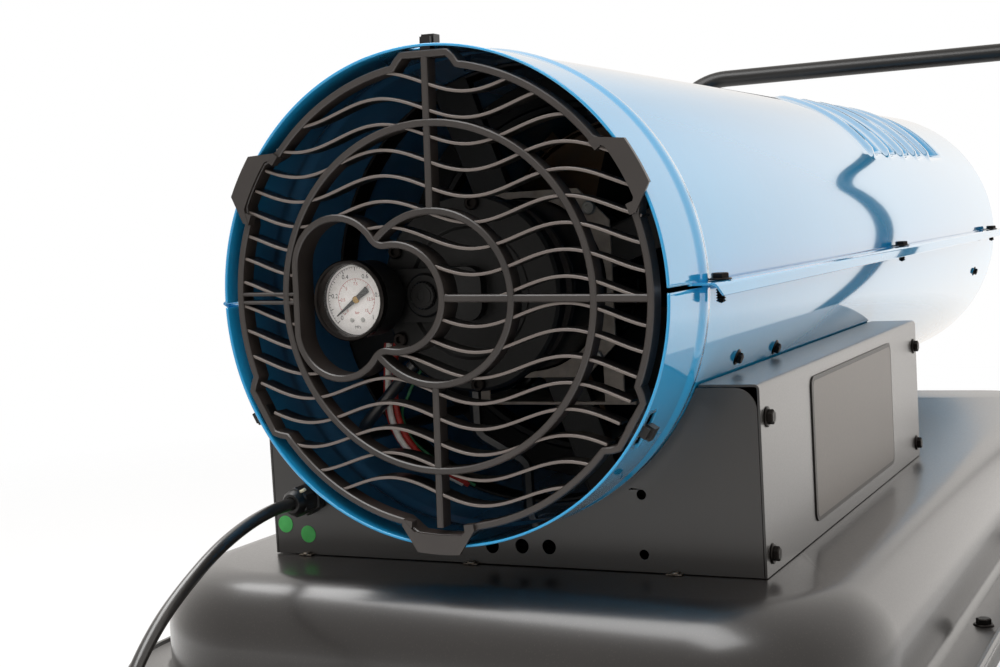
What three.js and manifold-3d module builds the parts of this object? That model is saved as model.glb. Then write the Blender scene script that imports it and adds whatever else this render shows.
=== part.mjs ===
// Forced air heater: a long two-piece steel shell on a sheet cabinet, over a pressed fuel tank
// that stands on two wheels and a tube leg. The pump, gauge, motor and fan sit behind the
// intake grille and the combustion chamber fills the outlet end.
// Millimetres, +Z up, +Y from the intake to the outlet, +X to the right seen from the intake.
import * as THREE from 'three';
import { mergeVertices } from 'three/addons/utils/BufferGeometryUtils.js';
import Module from 'manifold-3d';

const wasm = await Module();
wasm.setup();

// ---- driving dimensions ----
const gap = 0.3; // between two pieces that touch
const groundClearance = 133; // under the tank

const shellRadius = 150;
const shellWall = 1.5;
const shellLength = 1165;
const shellSides = 36;
const beadPlace = 60; // raised bead behind the intake rim
const beadHeight = 2.5;
const beadHalfWidth = 7;
const seamReach = 17; // side flanges where the two halves meet
const seamStart = 62;
const seamLip = 8;
const seamNotch = 3; // opening between the halves in front of the flanges
const seamScrewFirst = 68; // from the intake
const seamScrewLast = 67; // from the outlet
const seamScrewHead = 5.6;
const seamScrewHeight = 4.2;
const seamScrewShank = 2.4;
const seamScrewReach = 12; // below the seam
const seamScrewHole = 2.8;
const louvreFirst = 640;
const louvrePitch = 67;
const louvreCount = 5;
const louvreWidth = 6;
const louvreFrom = 36; // degrees above the side seam
const louvreTo = 76;

const grilleTurn = -1.6; // degrees that the grille sits turned in its rim
const ringInset = 11.5; // from the shell to the middle of the outer ring
const ringRadii = [52, 104, shellRadius - ringInset];
const ringWidth = 4.4;
const ringDepth = 15.8;
const slatPitch = 15.3;
const slatOffset = 5.6;
const slatSwing = 7; // half the height of a slat's wave
const slatWave = 119; // one whole wave
const slatCrest = -32.5; // x of a crest
const slatThickness = 1.9;
const slatDepth = 13.6;
const slatSetBack = 1.5;
const pearDepth = 18; // collar round the gauge
const lugAngles = [30, 150, 270];
const lugHalfAngle = 5.3;
const lugTaper = 4.7; // degrees wider at the ring than outside the shell
const lugReach = 4.2; // outside the shell
const lugThickness = 2.7;
const hookAngles = [90, 210, 330];
const hookHalfAngle = 6.5;
const hookReach = 6.5; // outside the shell
const hookSlotFront = 6;
const hookSlotWidth = 9;

const gaugeX = -62.5;
const gaugeRadius = 25.2;
const gaugeFront = 12;
const gaugeDepth = 24;
const gaugeWall = 1.8;
const gaugeDialDepth = 6; // from the rim to the case's floor
const gaugeRestAngle = 145; // the pointer rests low on the left, near zero
const dialThickness = 0.8;
const needleLength = 16.5;
const needleTail = 9.5;
const needleHub = 2.4;
const lensThickness = 1.2;
const stemRadius = 6;
const adjusterX = -27;
const adjusterRadius = 9;
const adjusterFront = 37;
const adjusterBoss = 14;
const adjusterShank = 5;
const adjusterLength = 15;

const pumpFront = 48;
const pumpCoverThickness = 10;
const pumpRadius = 62;
const pumpBodyDepth = 20;
const rotorRadius = 30;
const runClearance = 0.4;
const motorRadius = 58;
const motorLength = 130;
const shaftRadius = 6;
const bracketPlace = 144;
const bracketWidth = 20;
const bracketWall = 2;
const shroudPlace = 233;
const shroudWall = 3;
const shroudClearance = 5;
const fanPlace = 258;
const fanInset = 34; // from the shell to the blade tips
const fanRadius = shellRadius - fanInset;
const fanHubRadius = 22;
const fanHubLength = 30;
const fanBlades = 5;
const bladePitch = 32; // degrees
const bladeWidth = 62;
const bladeThickness = 2;

const chamberSides = 24;
const chamberInset = 30; // from the shell to the chamber
const chamberRadius = shellRadius - chamberInset;
const chamberWall = 1.5;
const chamberStart = 330;
const chamberEndInset = 30; // from the outlet
const chamberFootAngles = [48.75, 131.25, 228.75, 311.25];
const chamberFootFront = 60; // from each end of the chamber
const chamberFootBack = 90;
const footStrap = 3;
const headHole = 28;
const headDepth = 16;
const headWall = 2;
const headShoulder = 14;
const headSkirt = 18;
const sensorX = 62;
const sensorZ = 30;
const sensorRadius = 11;
const sensorNose = 7.8;
const nozzleBody = 20;
const nozzleLength = 24;
const igniterX = 13;
const igniterZ = 4;
const igniterRadius = 3;
const ringLip = 22; // how far the outlet ring's lip turns in and reaches back
const ringWall = 1.5;
const baffleRadius = 62;
const baffleThickness = 2;
const baffleInset = 30; // from the chamber's end
const hoseRadius = 4;
const hoseInset = 17; // from the shell to the hoses that run along it
const hoseHoleX = 0;
const hoseHoleY = 600;
const loomHoleY = 118;
const loomX = -28;
const loomInset = [54, 32, -13]; // from the shell's underside to the loom's bends
const loomRun = [60, 72]; // the loom's slanting stretch in the cabinet, along and across
const grommetHole = 7;
const nippleRadius = 7;
const nippleHeight = 12;

const cabinetOverhang = 25.8; // beyond the shell on each side
const cabinetHalfWidth = shellRadius + cabinetOverhang;
const cabinetFront = 74;
const cabinetBack = 535;
const cabinetTop = -61;
const cabinetDrop = 27.5; // from the shell's underside to the cabinet's
const sheet = 1.5;
const plateCorner = 14;
// Holes in the front plate: x, height above the cabinet's underside, radius.
const plateHoles = [[-7, 11.9, 4.7], [14.4, 12.8, 4.7], [33.5, 13, 4.7], [98, 48.5, 3.1], [98, 11, 3.1]];
const labelFront = 188;
const labelBack = 430;
const labelTopInset = 9;
const labelBottomInset = 10.5;
const labelCorner = 7;
const labelThickness = 0.8;
const controlDrop = 51; // from the cabinet's top to the row of controls
const knobY = 190;
const knobRadius = 17;
const knobHeight = 18;
const shaftHole = 3.4;
const switchY = 262;
const switchHalf = [12.5, 16]; // half the rim, along Y and up
const switchBody = [10, 13.5];
const rockerWell = [8, 11.5];
const switchDepth = 13;
const displayY = 330;
const displayHalf = [20, 12];
const boardInset = 12.3; // between the left cover and the board
const boardFront = 130;
const boardBack = 420;
const boardTopInset = 16;
const relay = [340, 372, 27.5, 57.5, 14]; // y from and to, height from and to, thickness
const connector = [190, 214, 17.5, 37.5, 10];
const transformerFront = 180;
const transformerBack = 262;
const transformerWidth = 48;
const transformerHeight = 58;
const transformerInset = 8.3; // between it and the right cover
const postRadius = 5;
const postHeight = 14;

const tankHalfWidth = 252;
const tankFront = -18;
const tankBack = 1032;
const tankCorner = 100;
const tankCornerSteps = 2;
const tankRoll = 42;
const tankWall = 2;
const tankUnderCabinet = 0.5; // between the cabinet and the tank
const tankUpperDepth = 72;
const tankLowerDepth = 72;
const tankFlange = 31;
const tankFlangeThickness = 1.5;
const fillerX = -168;
const fillerY = 740;
const fillerRadius = 28;
const fillerHeight = 14;
const capRadius = 34;
const capHeight = 24;
const capGrip = 7;
const fuelGaugeY = 860;
const fuelGaugeRadius = 22;
const drainX = 150;
const drainY = 70;
const drainRadius = 8;
const drainBoss = 5;

const frameOut = 16; // from the tank's side to the side tubes, under its flange
const frameX = tankHalfWidth + frameOut;
const frameTube = 12.5;
const frameLegY = 950;
const frameBendY = 850;
const frameRiseY = 190;
const bendRadius = 60;
const handleTube = 11;
const handleFootFront = 765;
const handleFootBack = 905;
const handleY = 1245;
const handleZ = 222;
const wheelY = 70;
const tyreRadius = 90;
const tyreWidth = 40;
const rimRadius = 62;
const wheelSides = 16;
const wheelOut = 21; // from the side tube to the inner side of the wheel
const wheelInner = frameX + wheelOut;
const wheelHub = 18;
const axleRadius = 7;
const footX = 150;
const footLength = 46;
const footRadius = 16;
const footSides = 12;

const glandX = -143.7;
const glandZ = -137.5;
const glandLength = 26;
const glandHole = 7.4;
const glandCollar = 11;
const cordRadius = 4.2;
const coilPitch = 9.2; // from one turn to the next, sideways and upwards
const coilOuter = 55.4; // radius of the outermost turn's middle
const coilTurnsPerLayer = 2;
const coilTail = 52; // straight piece between the coil and the plug
const tieWidth = 8;
const tieThickness = 1.2;
const plugWidth = 36;
const plugRelief = 32;
const plugBody = 40;
const pinRadius = 2.4;
const pinSpread = 9.5;
const pinLength = 19;
// The free cord's route from the gland down to the floor, chosen by hand.
const cordRoute = [[-143.7, 47.7, -137.5], [-143.4, 26, -137.6], [-142.6, 0, -140.6],
  [-141.8, -25, -146.2], [-141.2, -45, -152.8], [-141, -63, -160.8], [-141, -79, -169], [-141, -94, -178],
  [-141, -108, -188.6], [-141, -121, -201], [-141.2, -132, -216], [-141.4, -141, -235], [-141.8, -148, -258],
  [-142.2, -153, -285], [-142.6, -156, -315], [-142.9, -158, -345], [-143, -159.4, -375],
  [-143, -160, -404], [-144.8, -160, -421.6], [-151.4, -160, -435.6], [-162, -160, -445],
  [-174.6, -160, -448.8], [-187, -160, -449.1]];

// ---- places that follow from them ----
const shellInner = shellRadius - shellWall;
const chamberEnd = shellLength - chamberEndInset;
const hoseCircle = shellRadius - hoseInset;
const cabinetBottom = -shellRadius - cabinetDrop;
const knobZ = cabinetTop - controlDrop;
const boardX = -cabinetHalfWidth + sheet + boardInset;
const tankTop = cabinetBottom - tankUnderCabinet;
const tankSeam = tankTop - tankUpperDepth;
const tankBottom = tankSeam - tankLowerDepth;
const axisHeight = groundClearance - tankBottom;
const floorLevel = -axisHeight;
const fanFront = fanPlace - fanHubLength / 2;
const fanBack = fanPlace + fanHubLength / 2;

// ---- materials ----
function finish(color, roughness, metalness) {
  return new THREE.MeshStandardMaterial({ color, roughness, metalness });
}
const bluePaint = () => finish(0x3a93c8, 0.18, 0.0);
const blackPaint = () => finish(0x2b2927, 0.45, 0.1);
const blackPlastic = () => finish(0x2c2a29, 0.55, 0.0);
const bareSteel = () => finish(0xb4b4b0, 0.35, 0.9);
const zincSteel = () => finish(0x8b8880, 0.4, 0.8);
const scaledSteel = () => finish(0x6d6257, 0.6, 0.7);
const rubber = () => finish(0x171717, 0.8, 0.0);
const darkScrew = () => finish(0x1d1c1b, 0.35, 0.7);
const castMetal = () => finish(0x77777a, 0.55, 0.6);
const whiteCard = () => finish(0xf0efea, 0.6, 0.0);
const boardGreen = () => finish(0x1f5a35, 0.5, 0.0);
const clearGlass = () => finish(0xf4f8fa, 0.05, 0.0);
const greyLabel = () => finish(0x4a4a4a, 0.5, 0.0);

// ---- shapes and solids ----
const rad = THREE.MathUtils.degToRad;

// A closed three.js geometry as a solid that can be joined and cut.
function solid(geometry) {
  const bare = geometry.clone();
  bare.deleteAttribute('normal');
  bare.deleteAttribute('uv');
  const merged = mergeVertices(bare, 1e-4);
  const points = merged.attributes.position.array;
  const index = merged.index.array;
  const kept = [];
  let volume = 0;
  const corner = [new THREE.Vector3(), new THREE.Vector3(), new THREE.Vector3()];
  for (let i = 0; i < index.length; i += 3) {
    const [a, b, c] = [index[i], index[i + 1], index[i + 2]];
    if (a === b || b === c || c === a) continue;
    kept.push(a, b, c);
    [a, b, c].forEach((v, k) => corner[k].fromArray(points, v * 3));
    volume += corner[0].dot(corner[1].clone().cross(corner[2]));
  }
  if (volume < 0) {
    for (let i = 0; i < kept.length; i += 3) {
      [kept[i + 1], kept[i + 2]] = [kept[i + 2], kept[i + 1]];
    }
  }
  const mesh = new wasm.Mesh({
    numProp: 3,
    vertProperties: new Float32Array(points),
    triVerts: new Uint32Array(kept),
  });
  return new wasm.Manifold(mesh);
}

const join = (first, ...rest) => rest.reduce((made, next) => made.add(next), first);
const cut = (first, ...rest) => rest.reduce((made, next) => made.subtract(next), first);

function block(x0, x1, y0, y1, z0, z1) {
  const geometry = new THREE.BoxGeometry(x1 - x0, y1 - y0, z1 - z0);
  geometry.translate((x0 + x1) / 2, (y0 + y1) / 2, (z0 + z1) / 2);
  return solid(geometry);
}

// A round bar from one point to another.
function rod(radius, from, to, sides = 20) {
  const start = new THREE.Vector3(...from);
  const run = new THREE.Vector3(...to).sub(start);
  const geometry = new THREE.CylinderGeometry(radius, radius, run.length(), sides);
  geometry.translate(0, run.length() / 2, 0);
  geometry.applyQuaternion(new THREE.Quaternion().setFromUnitVectors(
    new THREE.Vector3(0, 1, 0), run.clone().normalize()));
  geometry.translate(start.x, start.y, start.z);
  return solid(geometry);
}

// A profile of [radius, y] points turned round a line along Y through (x, z).
function turned(profile, sides = 32, x = 0, z = 0) {
  const points = profile.map(([r, y]) => new THREE.Vector2(r, y));
  const geometry = new THREE.LatheGeometry(points, sides);
  geometry.translate(x, 0, z);
  return solid(geometry);
}

// The same with the line along X through (y, z), and along Z through (x, y).
function turnedAlongX(profile, sides, y, z) {
  const points = profile.map(([r, x]) => new THREE.Vector2(r, x));
  const geometry = new THREE.LatheGeometry(points, sides);
  geometry.rotateZ(-Math.PI / 2);
  geometry.translate(0, y, z);
  return solid(geometry);
}
function turnedAlongZ(profile, sides, x, y) {
  const points = profile.map(([r, z]) => new THREE.Vector2(r, z));
  const geometry = new THREE.LatheGeometry(points, sides);
  geometry.rotateX(Math.PI / 2);
  geometry.translate(x, y, 0);
  return solid(geometry);
}

const ringProfile = (inner, outer, y0, y1) => [
  [inner, y0], [outer, y0], [outer, y1], [inner, y1], [inner, y0]];
const discProfile = (outer, y0, y1) => [[0, y0], [outer, y0], [outer, y1], [0, y1]];
const ring = (inner, outer, y0, y1, sides = 48) => turned(ringProfile(inner, outer, y0, y1), sides);
const disc = (outer, y0, y1, sides = 24, x = 0, z = 0) => turned(discProfile(outer, y0, y1), sides, x, z);

// A flat outline drawn in x and z, made thick from y0 to y1.
function alongY(shape, y0, y1, curveSegments = 12) {
  const options = { depth: y1 - y0, bevelEnabled: false, curveSegments };
  const geometry = new THREE.ExtrudeGeometry(shape, options);
  geometry.rotateX(Math.PI / 2);
  geometry.translate(0, y1, 0);
  return solid(geometry);
}

// A flat outline drawn in y and z, made thick from x0 to x1.
function alongX(shape, x0, x1, curveSegments = 4) {
  const options = { depth: x1 - x0, bevelEnabled: false, curveSegments };
  const geometry = new THREE.ExtrudeGeometry(shape, options);
  geometry.rotateX(Math.PI / 2);
  geometry.rotateZ(Math.PI / 2);
  geometry.translate(x0, 0, 0);
  return solid(geometry);
}

// A piece of a ring between two angles in degrees, seen from the intake.
function sector(inner, outer, from, to, y0, y1, segments = 6) {
  const shape = new THREE.Shape();
  shape.absarc(0, 0, outer, rad(from), rad(to), false);
  shape.absarc(0, 0, inner, rad(to), rad(from), true);
  return alongY(shape, y0, y1, segments);
}

// A rectangle with round corners, as a Shape.
function roundedRectangle(x0, x1, y0, y1, corner) {
  const shape = new THREE.Shape();
  shape.absarc(x1 - corner, y0 + corner, corner, -Math.PI / 2, 0, false);
  shape.absarc(x1 - corner, y1 - corner, corner, 0, Math.PI / 2, false);
  shape.absarc(x0 + corner, y1 - corner, corner, Math.PI / 2, Math.PI, false);
  shape.absarc(x0 + corner, y0 + corner, corner, Math.PI, Math.PI * 1.5, false);
  return shape;
}

// Straight runs joined by round bends, with a station only where the tube turns.
class BentPath extends THREE.Curve {
  constructor(corners, radius, stepsInBend = 3) {
    super();
    const points = corners.map((c) => new THREE.Vector3(...c));
    this.stations = [points[0]];
    for (let i = 1; i < points.length - 1; i += 1) {
      const back = points[i - 1].clone().sub(points[i]).normalize();
      const ahead = points[i + 1].clone().sub(points[i]).normalize();
      const half = Math.acos(THREE.MathUtils.clamp(back.dot(ahead), -1, 1)) / 2;
      const reach = radius / Math.tan(half);
      const centre = points[i].clone().addScaledVector(
        back.clone().add(ahead).normalize(), radius / Math.sin(half));
      const from = points[i].clone().addScaledVector(back, reach).sub(centre);
      const to = points[i].clone().addScaledVector(ahead, reach).sub(centre);
      const sweep = from.angleTo(to);
      const axis = from.clone().cross(to).normalize();
      for (let k = 0; k <= stepsInBend; k += 1) {
        const turn = from.clone().applyAxisAngle(axis, (sweep * k) / stepsInBend);
        this.stations.push(turn.add(centre));
      }
    }
    this.stations.push(points[points.length - 1]);
  }

  place(u) {
    return Math.round(u * (this.stations.length - 1));
  }

  getPointAt(u) {
    return this.stations[this.place(u)].clone();
  }

  getTangentAt(u) {
    const i = this.place(u);
    const last = this.stations.length - 1;
    if (i === 0) return this.stations[1].clone().sub(this.stations[0]).normalize();
    if (i === last) return this.stations[last].clone().sub(this.stations[last - 1]).normalize();
    const back = this.stations[i].clone().sub(this.stations[i - 1]).normalize();
    const ahead = this.stations[i + 1].clone().sub(this.stations[i]).normalize();
    return back.add(ahead).normalize();
  }
}

// A round section swept along a path whose steps are its own stations.
function tube(path, radius, sides) {
  const steps = path.stations.length - 1;
  const section = new THREE.Shape(Array.from({ length: sides }, (_, k) => {
    const a = (k * 2 * Math.PI) / sides;
    return new THREE.Vector2(radius * Math.cos(a), radius * Math.sin(a));
  }));
  const options = { steps, extrudePath: path, bevelEnabled: false, curveSegments: 1 };
  return solid(new THREE.ExtrudeGeometry(section, options));
}

// ---- the assembly ----
const tyreFront = wheelY - tyreRadius;
const flangeFront = tankFront - tankFlange;
const frontMost = Math.min(tyreFront, flangeFront);
const backMost = handleY + handleTube;
const heater = new THREE.Group();
heater.name = 'forced_air_heater';
const onAxis = new THREE.Group(); // its origin is the shell axis in the plane of the intake
onAxis.position.set(0, -(frontMost + backMost) / 2, axisHeight);
heater.add(onAxis);

function add(name, piece, material) {
  const { vertProperties, triVerts } = piece.getMesh();
  const geometry = new THREE.BufferGeometry();
  geometry.setAttribute('position', new THREE.BufferAttribute(new Float32Array(vertProperties), 3));
  geometry.setIndex(new THREE.BufferAttribute(new Uint32Array(triVerts), 1));
  geometry.computeVertexNormals();
  const mesh = new THREE.Mesh(geometry, material);
  mesh.name = name;
  onAxis.add(mesh);
  return mesh;
}

// ---- shell ----
function shellTube() {
  const beadOuter = [[shellRadius, beadPlace - beadHalfWidth],
    [shellRadius + beadHeight, beadPlace - beadHalfWidth / 3],
    [shellRadius + beadHeight, beadPlace + beadHalfWidth / 3],
    [shellRadius, beadPlace + beadHalfWidth]];
  return turned([[shellInner, 0], [shellRadius, 0], ...beadOuter, [shellRadius, shellLength],
    [shellInner, shellLength], [shellInner, 0]], shellSides);
}

const farOut = shellRadius + 60;
const halfGap = gap / 2;
const flangeOuter = shellRadius + seamReach;
const seamScrewEnd = shellLength - seamScrewLast;
const screwRows = [seamScrewFirst, (seamScrewFirst + seamScrewEnd) / 2, seamScrewEnd];
const seamScrewX = shellRadius + (seamReach - shellWall) / 2;
const notchBack = seamStart - 4;

function hookSlot(angle) {
  const at = angle + grilleTurn;
  return sector(shellRadius - 8, shellRadius + 8, at - 2.6, at + 5, hookSlotFront,
    hookSlotFront + hookSlotWidth, 2);
}

function seamHoles() {
  return screwRows.flatMap((y) => [-1, 1].map((side) => rod(seamScrewHole, [side * seamScrewX, y,
    -seamScrewReach], [side * seamScrewX, y, seamScrewReach], 12)));
}

function makeShellUpper() {
  let half = shellTube().intersect(block(-farOut, farOut, -1, shellLength + 1, halfGap, farOut));
  for (const side of [-1, 1]) {
    const [a, b] = side > 0 ? [shellInner + 0.5, flangeOuter] : [-flangeOuter, -shellInner - 0.5];
    half = half.add(block(a, b, seamStart, shellLength, halfGap, halfGap + shellWall));
    const lipInner = flangeOuter - shellWall;
    const [c, d] = side > 0 ? [lipInner, flangeOuter] : [-flangeOuter, -lipInner];
    half = half.add(block(c, d, seamStart, shellLength, -seamLip, halfGap + shellWall));
  }
  const notch = block(-farOut, farOut, -1, notchBack, -seamNotch / 2, seamNotch / 2);
  const louvres = [];
  for (let i = 0; i < louvreCount; i += 1) {
    const y = louvreFirst + louvrePitch * i;
    louvres.push(sector(shellRadius - 12, shellRadius + 12, louvreFrom, louvreTo, y, y + louvreWidth, 2));
    louvres.push(sector(shellRadius - 12, shellRadius + 12, 180 - louvreTo, 180 - louvreFrom, y,
      y + louvreWidth, 2));
  }
  add('shell_upper', cut(half, notch, hookSlot(hookAngles[0]), ...louvres, ...seamHoles()), bluePaint());
}

function makeShellLower() {
  let half = shellTube().intersect(block(-farOut, farOut, -1, shellLength + 1, -farOut, -halfGap));
  const reach = flangeOuter - shellWall - gap;
  for (const side of [-1, 1]) {
    const [a, b] = side > 0 ? [shellInner + 0.5, reach] : [-reach, -shellInner - 0.5];
    half = half.add(block(a, b, seamStart, shellLength, -halfGap - shellWall, -halfGap));
  }
  const notch = block(-farOut, farOut, -1, notchBack, -seamNotch / 2, seamNotch / 2);
  const down = (x, y, r) => rod(r, [x, y, -shellRadius - 10], [x, y, -shellRadius + 20], 12);
  add('shell_lower', cut(half, notch, hookSlot(hookAngles[1]), hookSlot(hookAngles[2]), ...seamHoles(),
    down(hoseHoleX, hoseHoleY, grommetHole), down(hoseHoleX, loomHoleY, grommetHole)), bluePaint());
}

function makeSeamScrews() {
  screwRows.forEach((y, i) => {
    for (const side of [-1, 1]) {
      const top = halfGap + shellWall + gap;
      const profile = [[0, -seamScrewReach], [seamScrewShank, -seamScrewReach], [seamScrewShank, top],
        [seamScrewHead, top], [seamScrewHead, top + 1.2], [seamScrewHead - 1.4, top + 1.2],
        [seamScrewHead - 1.6, top + seamScrewHeight], [0, top + seamScrewHeight]];
      const name = `seam_screw_${side < 0 ? 'left' : 'right'}_${i + 1}`;
      add(name, turnedAlongZ(profile, 6, side * seamScrewX, y), darkScrew());
    }
  });
}

// ---- intake grille ----
const lobeX = -66;
const lobeRise = 19; // half the straight side of the tall lobe
const lobeRadius = 30.5;
const roundLobeX = -26;
const roundLobeRadius = 32.5;

// The pear-shaped hole's outline moved out by some amount.
function pear(out, y0, y1) {
  const tall = new THREE.Shape();
  const r = lobeRadius + out;
  tall.absarc(lobeX, lobeRise, r, 0, Math.PI, false);
  tall.absarc(lobeX, -lobeRise, r, Math.PI, Math.PI * 2, false);
  return join(alongY(tall, y0, y1, 4), disc(roundLobeRadius + out, y0, y1, 16, roundLobeX, 0));
}

function slat(row) {
  const middle = slatOffset + slatPitch * row;
  const reach = ringRadii[2] + 4;
  const steps = 10;
  const line = Array.from({ length: steps + 1 }, (_, k) => {
    const x = -reach + (2 * reach * k) / steps;
    return [x, middle + slatSwing * Math.cos((2 * Math.PI * (x - slatCrest)) / slatWave)];
  });
  const upper = line.map(([x, z]) => new THREE.Vector2(x, z + slatThickness / 2));
  const lower = line.map(([x, z]) => new THREE.Vector2(x, z - slatThickness / 2)).reverse();
  return alongY(new THREE.Shape([...lower.reverse(), ...upper.reverse()]), slatSetBack,
    slatSetBack + slatDepth);
}

function makeGrille() {
  const half = ringWidth / 2;
  const outer = ringRadii[2];
  const rings = ringRadii.map((r, i) => ring(r - half, r + half, 0, ringDepth, [12, 20, 26][i]));
  const slats = [];
  const rows = Math.floor(outer / slatPitch - 1); // above and below the middle
  for (let row = -rows; row <= rows; row += 1) {
    slats.push(slat(row));
  }
  const inside = disc(outer, -1, slatSetBack + slatDepth + 1, 26);
  const bars = join(block(-outer, outer, 0.5, ringDepth - 1, -half, half),
    block(-half, half, 0.5, ringDepth - 1, -outer, outer));
  let made = join(...slats, bars).intersect(inside);
  made = join(made, ...rings);
  made = cut(made, pear(0, -1, pearDepth + 1));
  made = made.add(cut(pear(half - 0.2, 0, pearDepth), pear(-half + 0.2, -1, pearDepth + 1)));
  for (const angle of hookAngles) {
    const [from, to] = [angle - hookHalfAngle, angle + hookHalfAngle];
    const raised = shellInner * Math.cos(Math.PI / shellSides) - gap - half;
    made = cut(made, sector(outer - half - 1.5, outer + half + 1, from, to, -1, ringDepth + 6, 2));
    made = join(made, sector(raised - half, raised + half, from - 1, to + 1, 0, ringDepth, 2),
      sector(outer - half, raised + half, from - 1.6, from + 0.3, 0, ringDepth, 1),
      sector(outer - half, raised + half, to - 0.3, to + 1.6, 0, ringDepth, 1),
      sector(raised, shellRadius + hookReach, angle - 1.9, angle + 1.9, hookSlotFront + 1,
        hookSlotFront + hookSlotWidth - 1, 1));
    const spine = new THREE.Vector3(Math.cos(rad(angle)), 0, Math.sin(rad(angle)));
    if (angle === hookAngles[0]) {
      made = made.add(block(-half, half, 0.5, ringDepth - 1, outer - half - 3, raised));
    } else {
      const from3 = [spine.x * (outer - 6), ringDepth / 2, spine.z * (outer - 6)];
      const to3 = [spine.x * raised, ringDepth / 2, spine.z * raised];
      made = made.add(rod(2, from3, to3, 8));
    }
  }
  const lugFront = -gap - lugThickness;
  for (const angle of lugAngles) {
    const [from, to] = [angle - lugHalfAngle, angle + lugHalfAngle];
    const plate = [[outer - half, from - lugTaper], [shellRadius + lugReach, from],
      [shellRadius + lugReach, angle], [shellRadius + lugReach, to], [outer - half, to + lugTaper]];
    const corners = plate.map(([r, a]) => new THREE.Vector2(r * Math.cos(rad(a)), r * Math.sin(rad(a))));
    made = join(made, alongY(new THREE.Shape(corners), lugFront, -gap),
      sector(outer - half, outer + half - 0.2, from - lugTaper, to + lugTaper, lugFront, 1, 2),
      sector(shellRadius + gap, shellRadius + lugReach, from, to, lugFront, ringDepth + 2, 2));
  }
  const mesh = add('intake_grille', made, blackPlastic());
  mesh.rotation.y = -rad(grilleTurn);
}

// ---- pressure gauge ----
const gaugeBack = gaugeFront + gaugeDepth;
const gaugeFloor = gaugeFront + gaugeDialDepth;
const gaugeInner = gaugeRadius - gaugeWall;

function makeGauge() {
  const profile = [[0, gaugeFloor], [gaugeInner, gaugeFloor], [gaugeInner, gaugeFront],
    [gaugeRadius - 0.4, gaugeFront], [gaugeRadius, gaugeFront + 0.6], [gaugeRadius, gaugeFront + 5],
    [gaugeRadius - 1.2, gaugeFront + 6], [gaugeRadius - 1.2, gaugeBack], [stemRadius, gaugeBack],
    [stemRadius, pumpFront - gap], [0, pumpFront - gap]];
  add('gauge_case', turned(profile, 16, gaugeX, 0), darkScrew());
  const dialBack = gaugeFloor - gap;
  const dialFront = dialBack - dialThickness;
  add('gauge_dial', disc(gaugeInner - gap, dialFront, dialBack, 16, gaugeX, 0), whiteCard());
  const half = needleHub / 2;
  const pointer = new THREE.Shape([new THREE.Vector2(-needleTail, -half), new THREE.Vector2(0, -half),
    new THREE.Vector2(needleLength, -half / 4), new THREE.Vector2(needleLength, half / 4),
    new THREE.Vector2(0, half), new THREE.Vector2(-needleTail, half)]);
  const needleBack = dialFront - gap;
  const hub = disc(needleHub, needleBack - 1.3, needleBack, 16);
  const plate = alongY(pointer, needleBack - 0.9, needleBack - 0.3);
  const needle = add('gauge_needle', join(hub, plate), darkScrew());
  needle.position.set(gaugeX, 0, 0);
  needle.rotation.y = rad(gaugeRestAngle);
  const lensBack = needleBack - 1.3 - gap;
  add('gauge_lens', disc(gaugeInner - gap, lensBack - lensThickness, lensBack, 16, gaugeX, 0), clearGlass());
}

// ---- pump, motor and fan ----
const coverBack = pumpFront + pumpCoverThickness;
const pumpBodyFront = coverBack + gap;
const pumpBodyBack = pumpBodyFront + pumpBodyDepth;
const motorFront = pumpBodyBack + gap;
const motorBack = motorFront + motorLength;
const pumpBodyRadius = pumpRadius - 3;
const rotorFront = pumpBodyFront + 2;
const rotorBack = pumpBodyBack - 5;
const adjusterDeep = adjusterFront + adjusterLength;
const rotorSlot = 9;

function makePump() {
  const plate = disc(pumpRadius, pumpFront, coverBack, 20);
  const ear = join(disc(stemRadius + 6, pumpFront, coverBack, 12, gaugeX, 0),
    block(gaugeX, 0, pumpFront, coverBack, -stemRadius - 6, stemRadius + 6));
  const boss = disc(adjusterBoss, adjusterFront + 3, coverBack - 2, 12, adjusterX, 0);
  const bore = disc(adjusterShank + gap, adjusterFront, adjusterDeep + gap, 12, adjusterX, 0);
  add('pump_end_cover', cut(join(plate, ear, boss), bore), blackPlastic());
  const head = disc(adjusterRadius, adjusterFront, adjusterFront + 3 - gap, 12, adjusterX, 0);
  const shank = disc(adjusterShank, adjusterFront + 1, adjusterDeep, 12, adjusterX, 0);
  const slot = block(adjusterX - 12, adjusterX + 12, adjusterFront - 1, adjusterFront + 1.5, -1.3, 1.3);
  add('pressure_screw', cut(join(head, shank), slot), blackPlastic());
  const body = disc(pumpBodyRadius, pumpBodyFront, pumpBodyBack, 20);
  const cavity = disc(rotorRadius + 1.5, pumpBodyFront - 1, rotorBack + 1, 16);
  const shaftWay = disc(shaftRadius + runClearance, 0, motorBack + 20, 12);
  add('pump_body', cut(body, cavity, shaftWay), castMetal());
  const [r0, r1] = [rotorRadius - rotorSlot, rotorRadius + 1];
  const slots = join(block(-r1, -r0, rotorFront - 1, rotorBack + 1, -1.5, 1.5),
    block(r0, r1, rotorFront - 1, rotorBack + 1, -1.5, 1.5),
    block(-1.5, 1.5, rotorFront - 1, rotorBack + 1, r0, r1),
    block(-1.5, 1.5, rotorFront - 1, rotorBack + 1, -r1, -r0));
  const rotorBore = disc(shaftRadius + gap, 0, motorBack, 12);
  add('pump_rotor', cut(disc(rotorRadius, rotorFront, rotorBack, 16), rotorBore, slots), castMetal());
}

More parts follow.
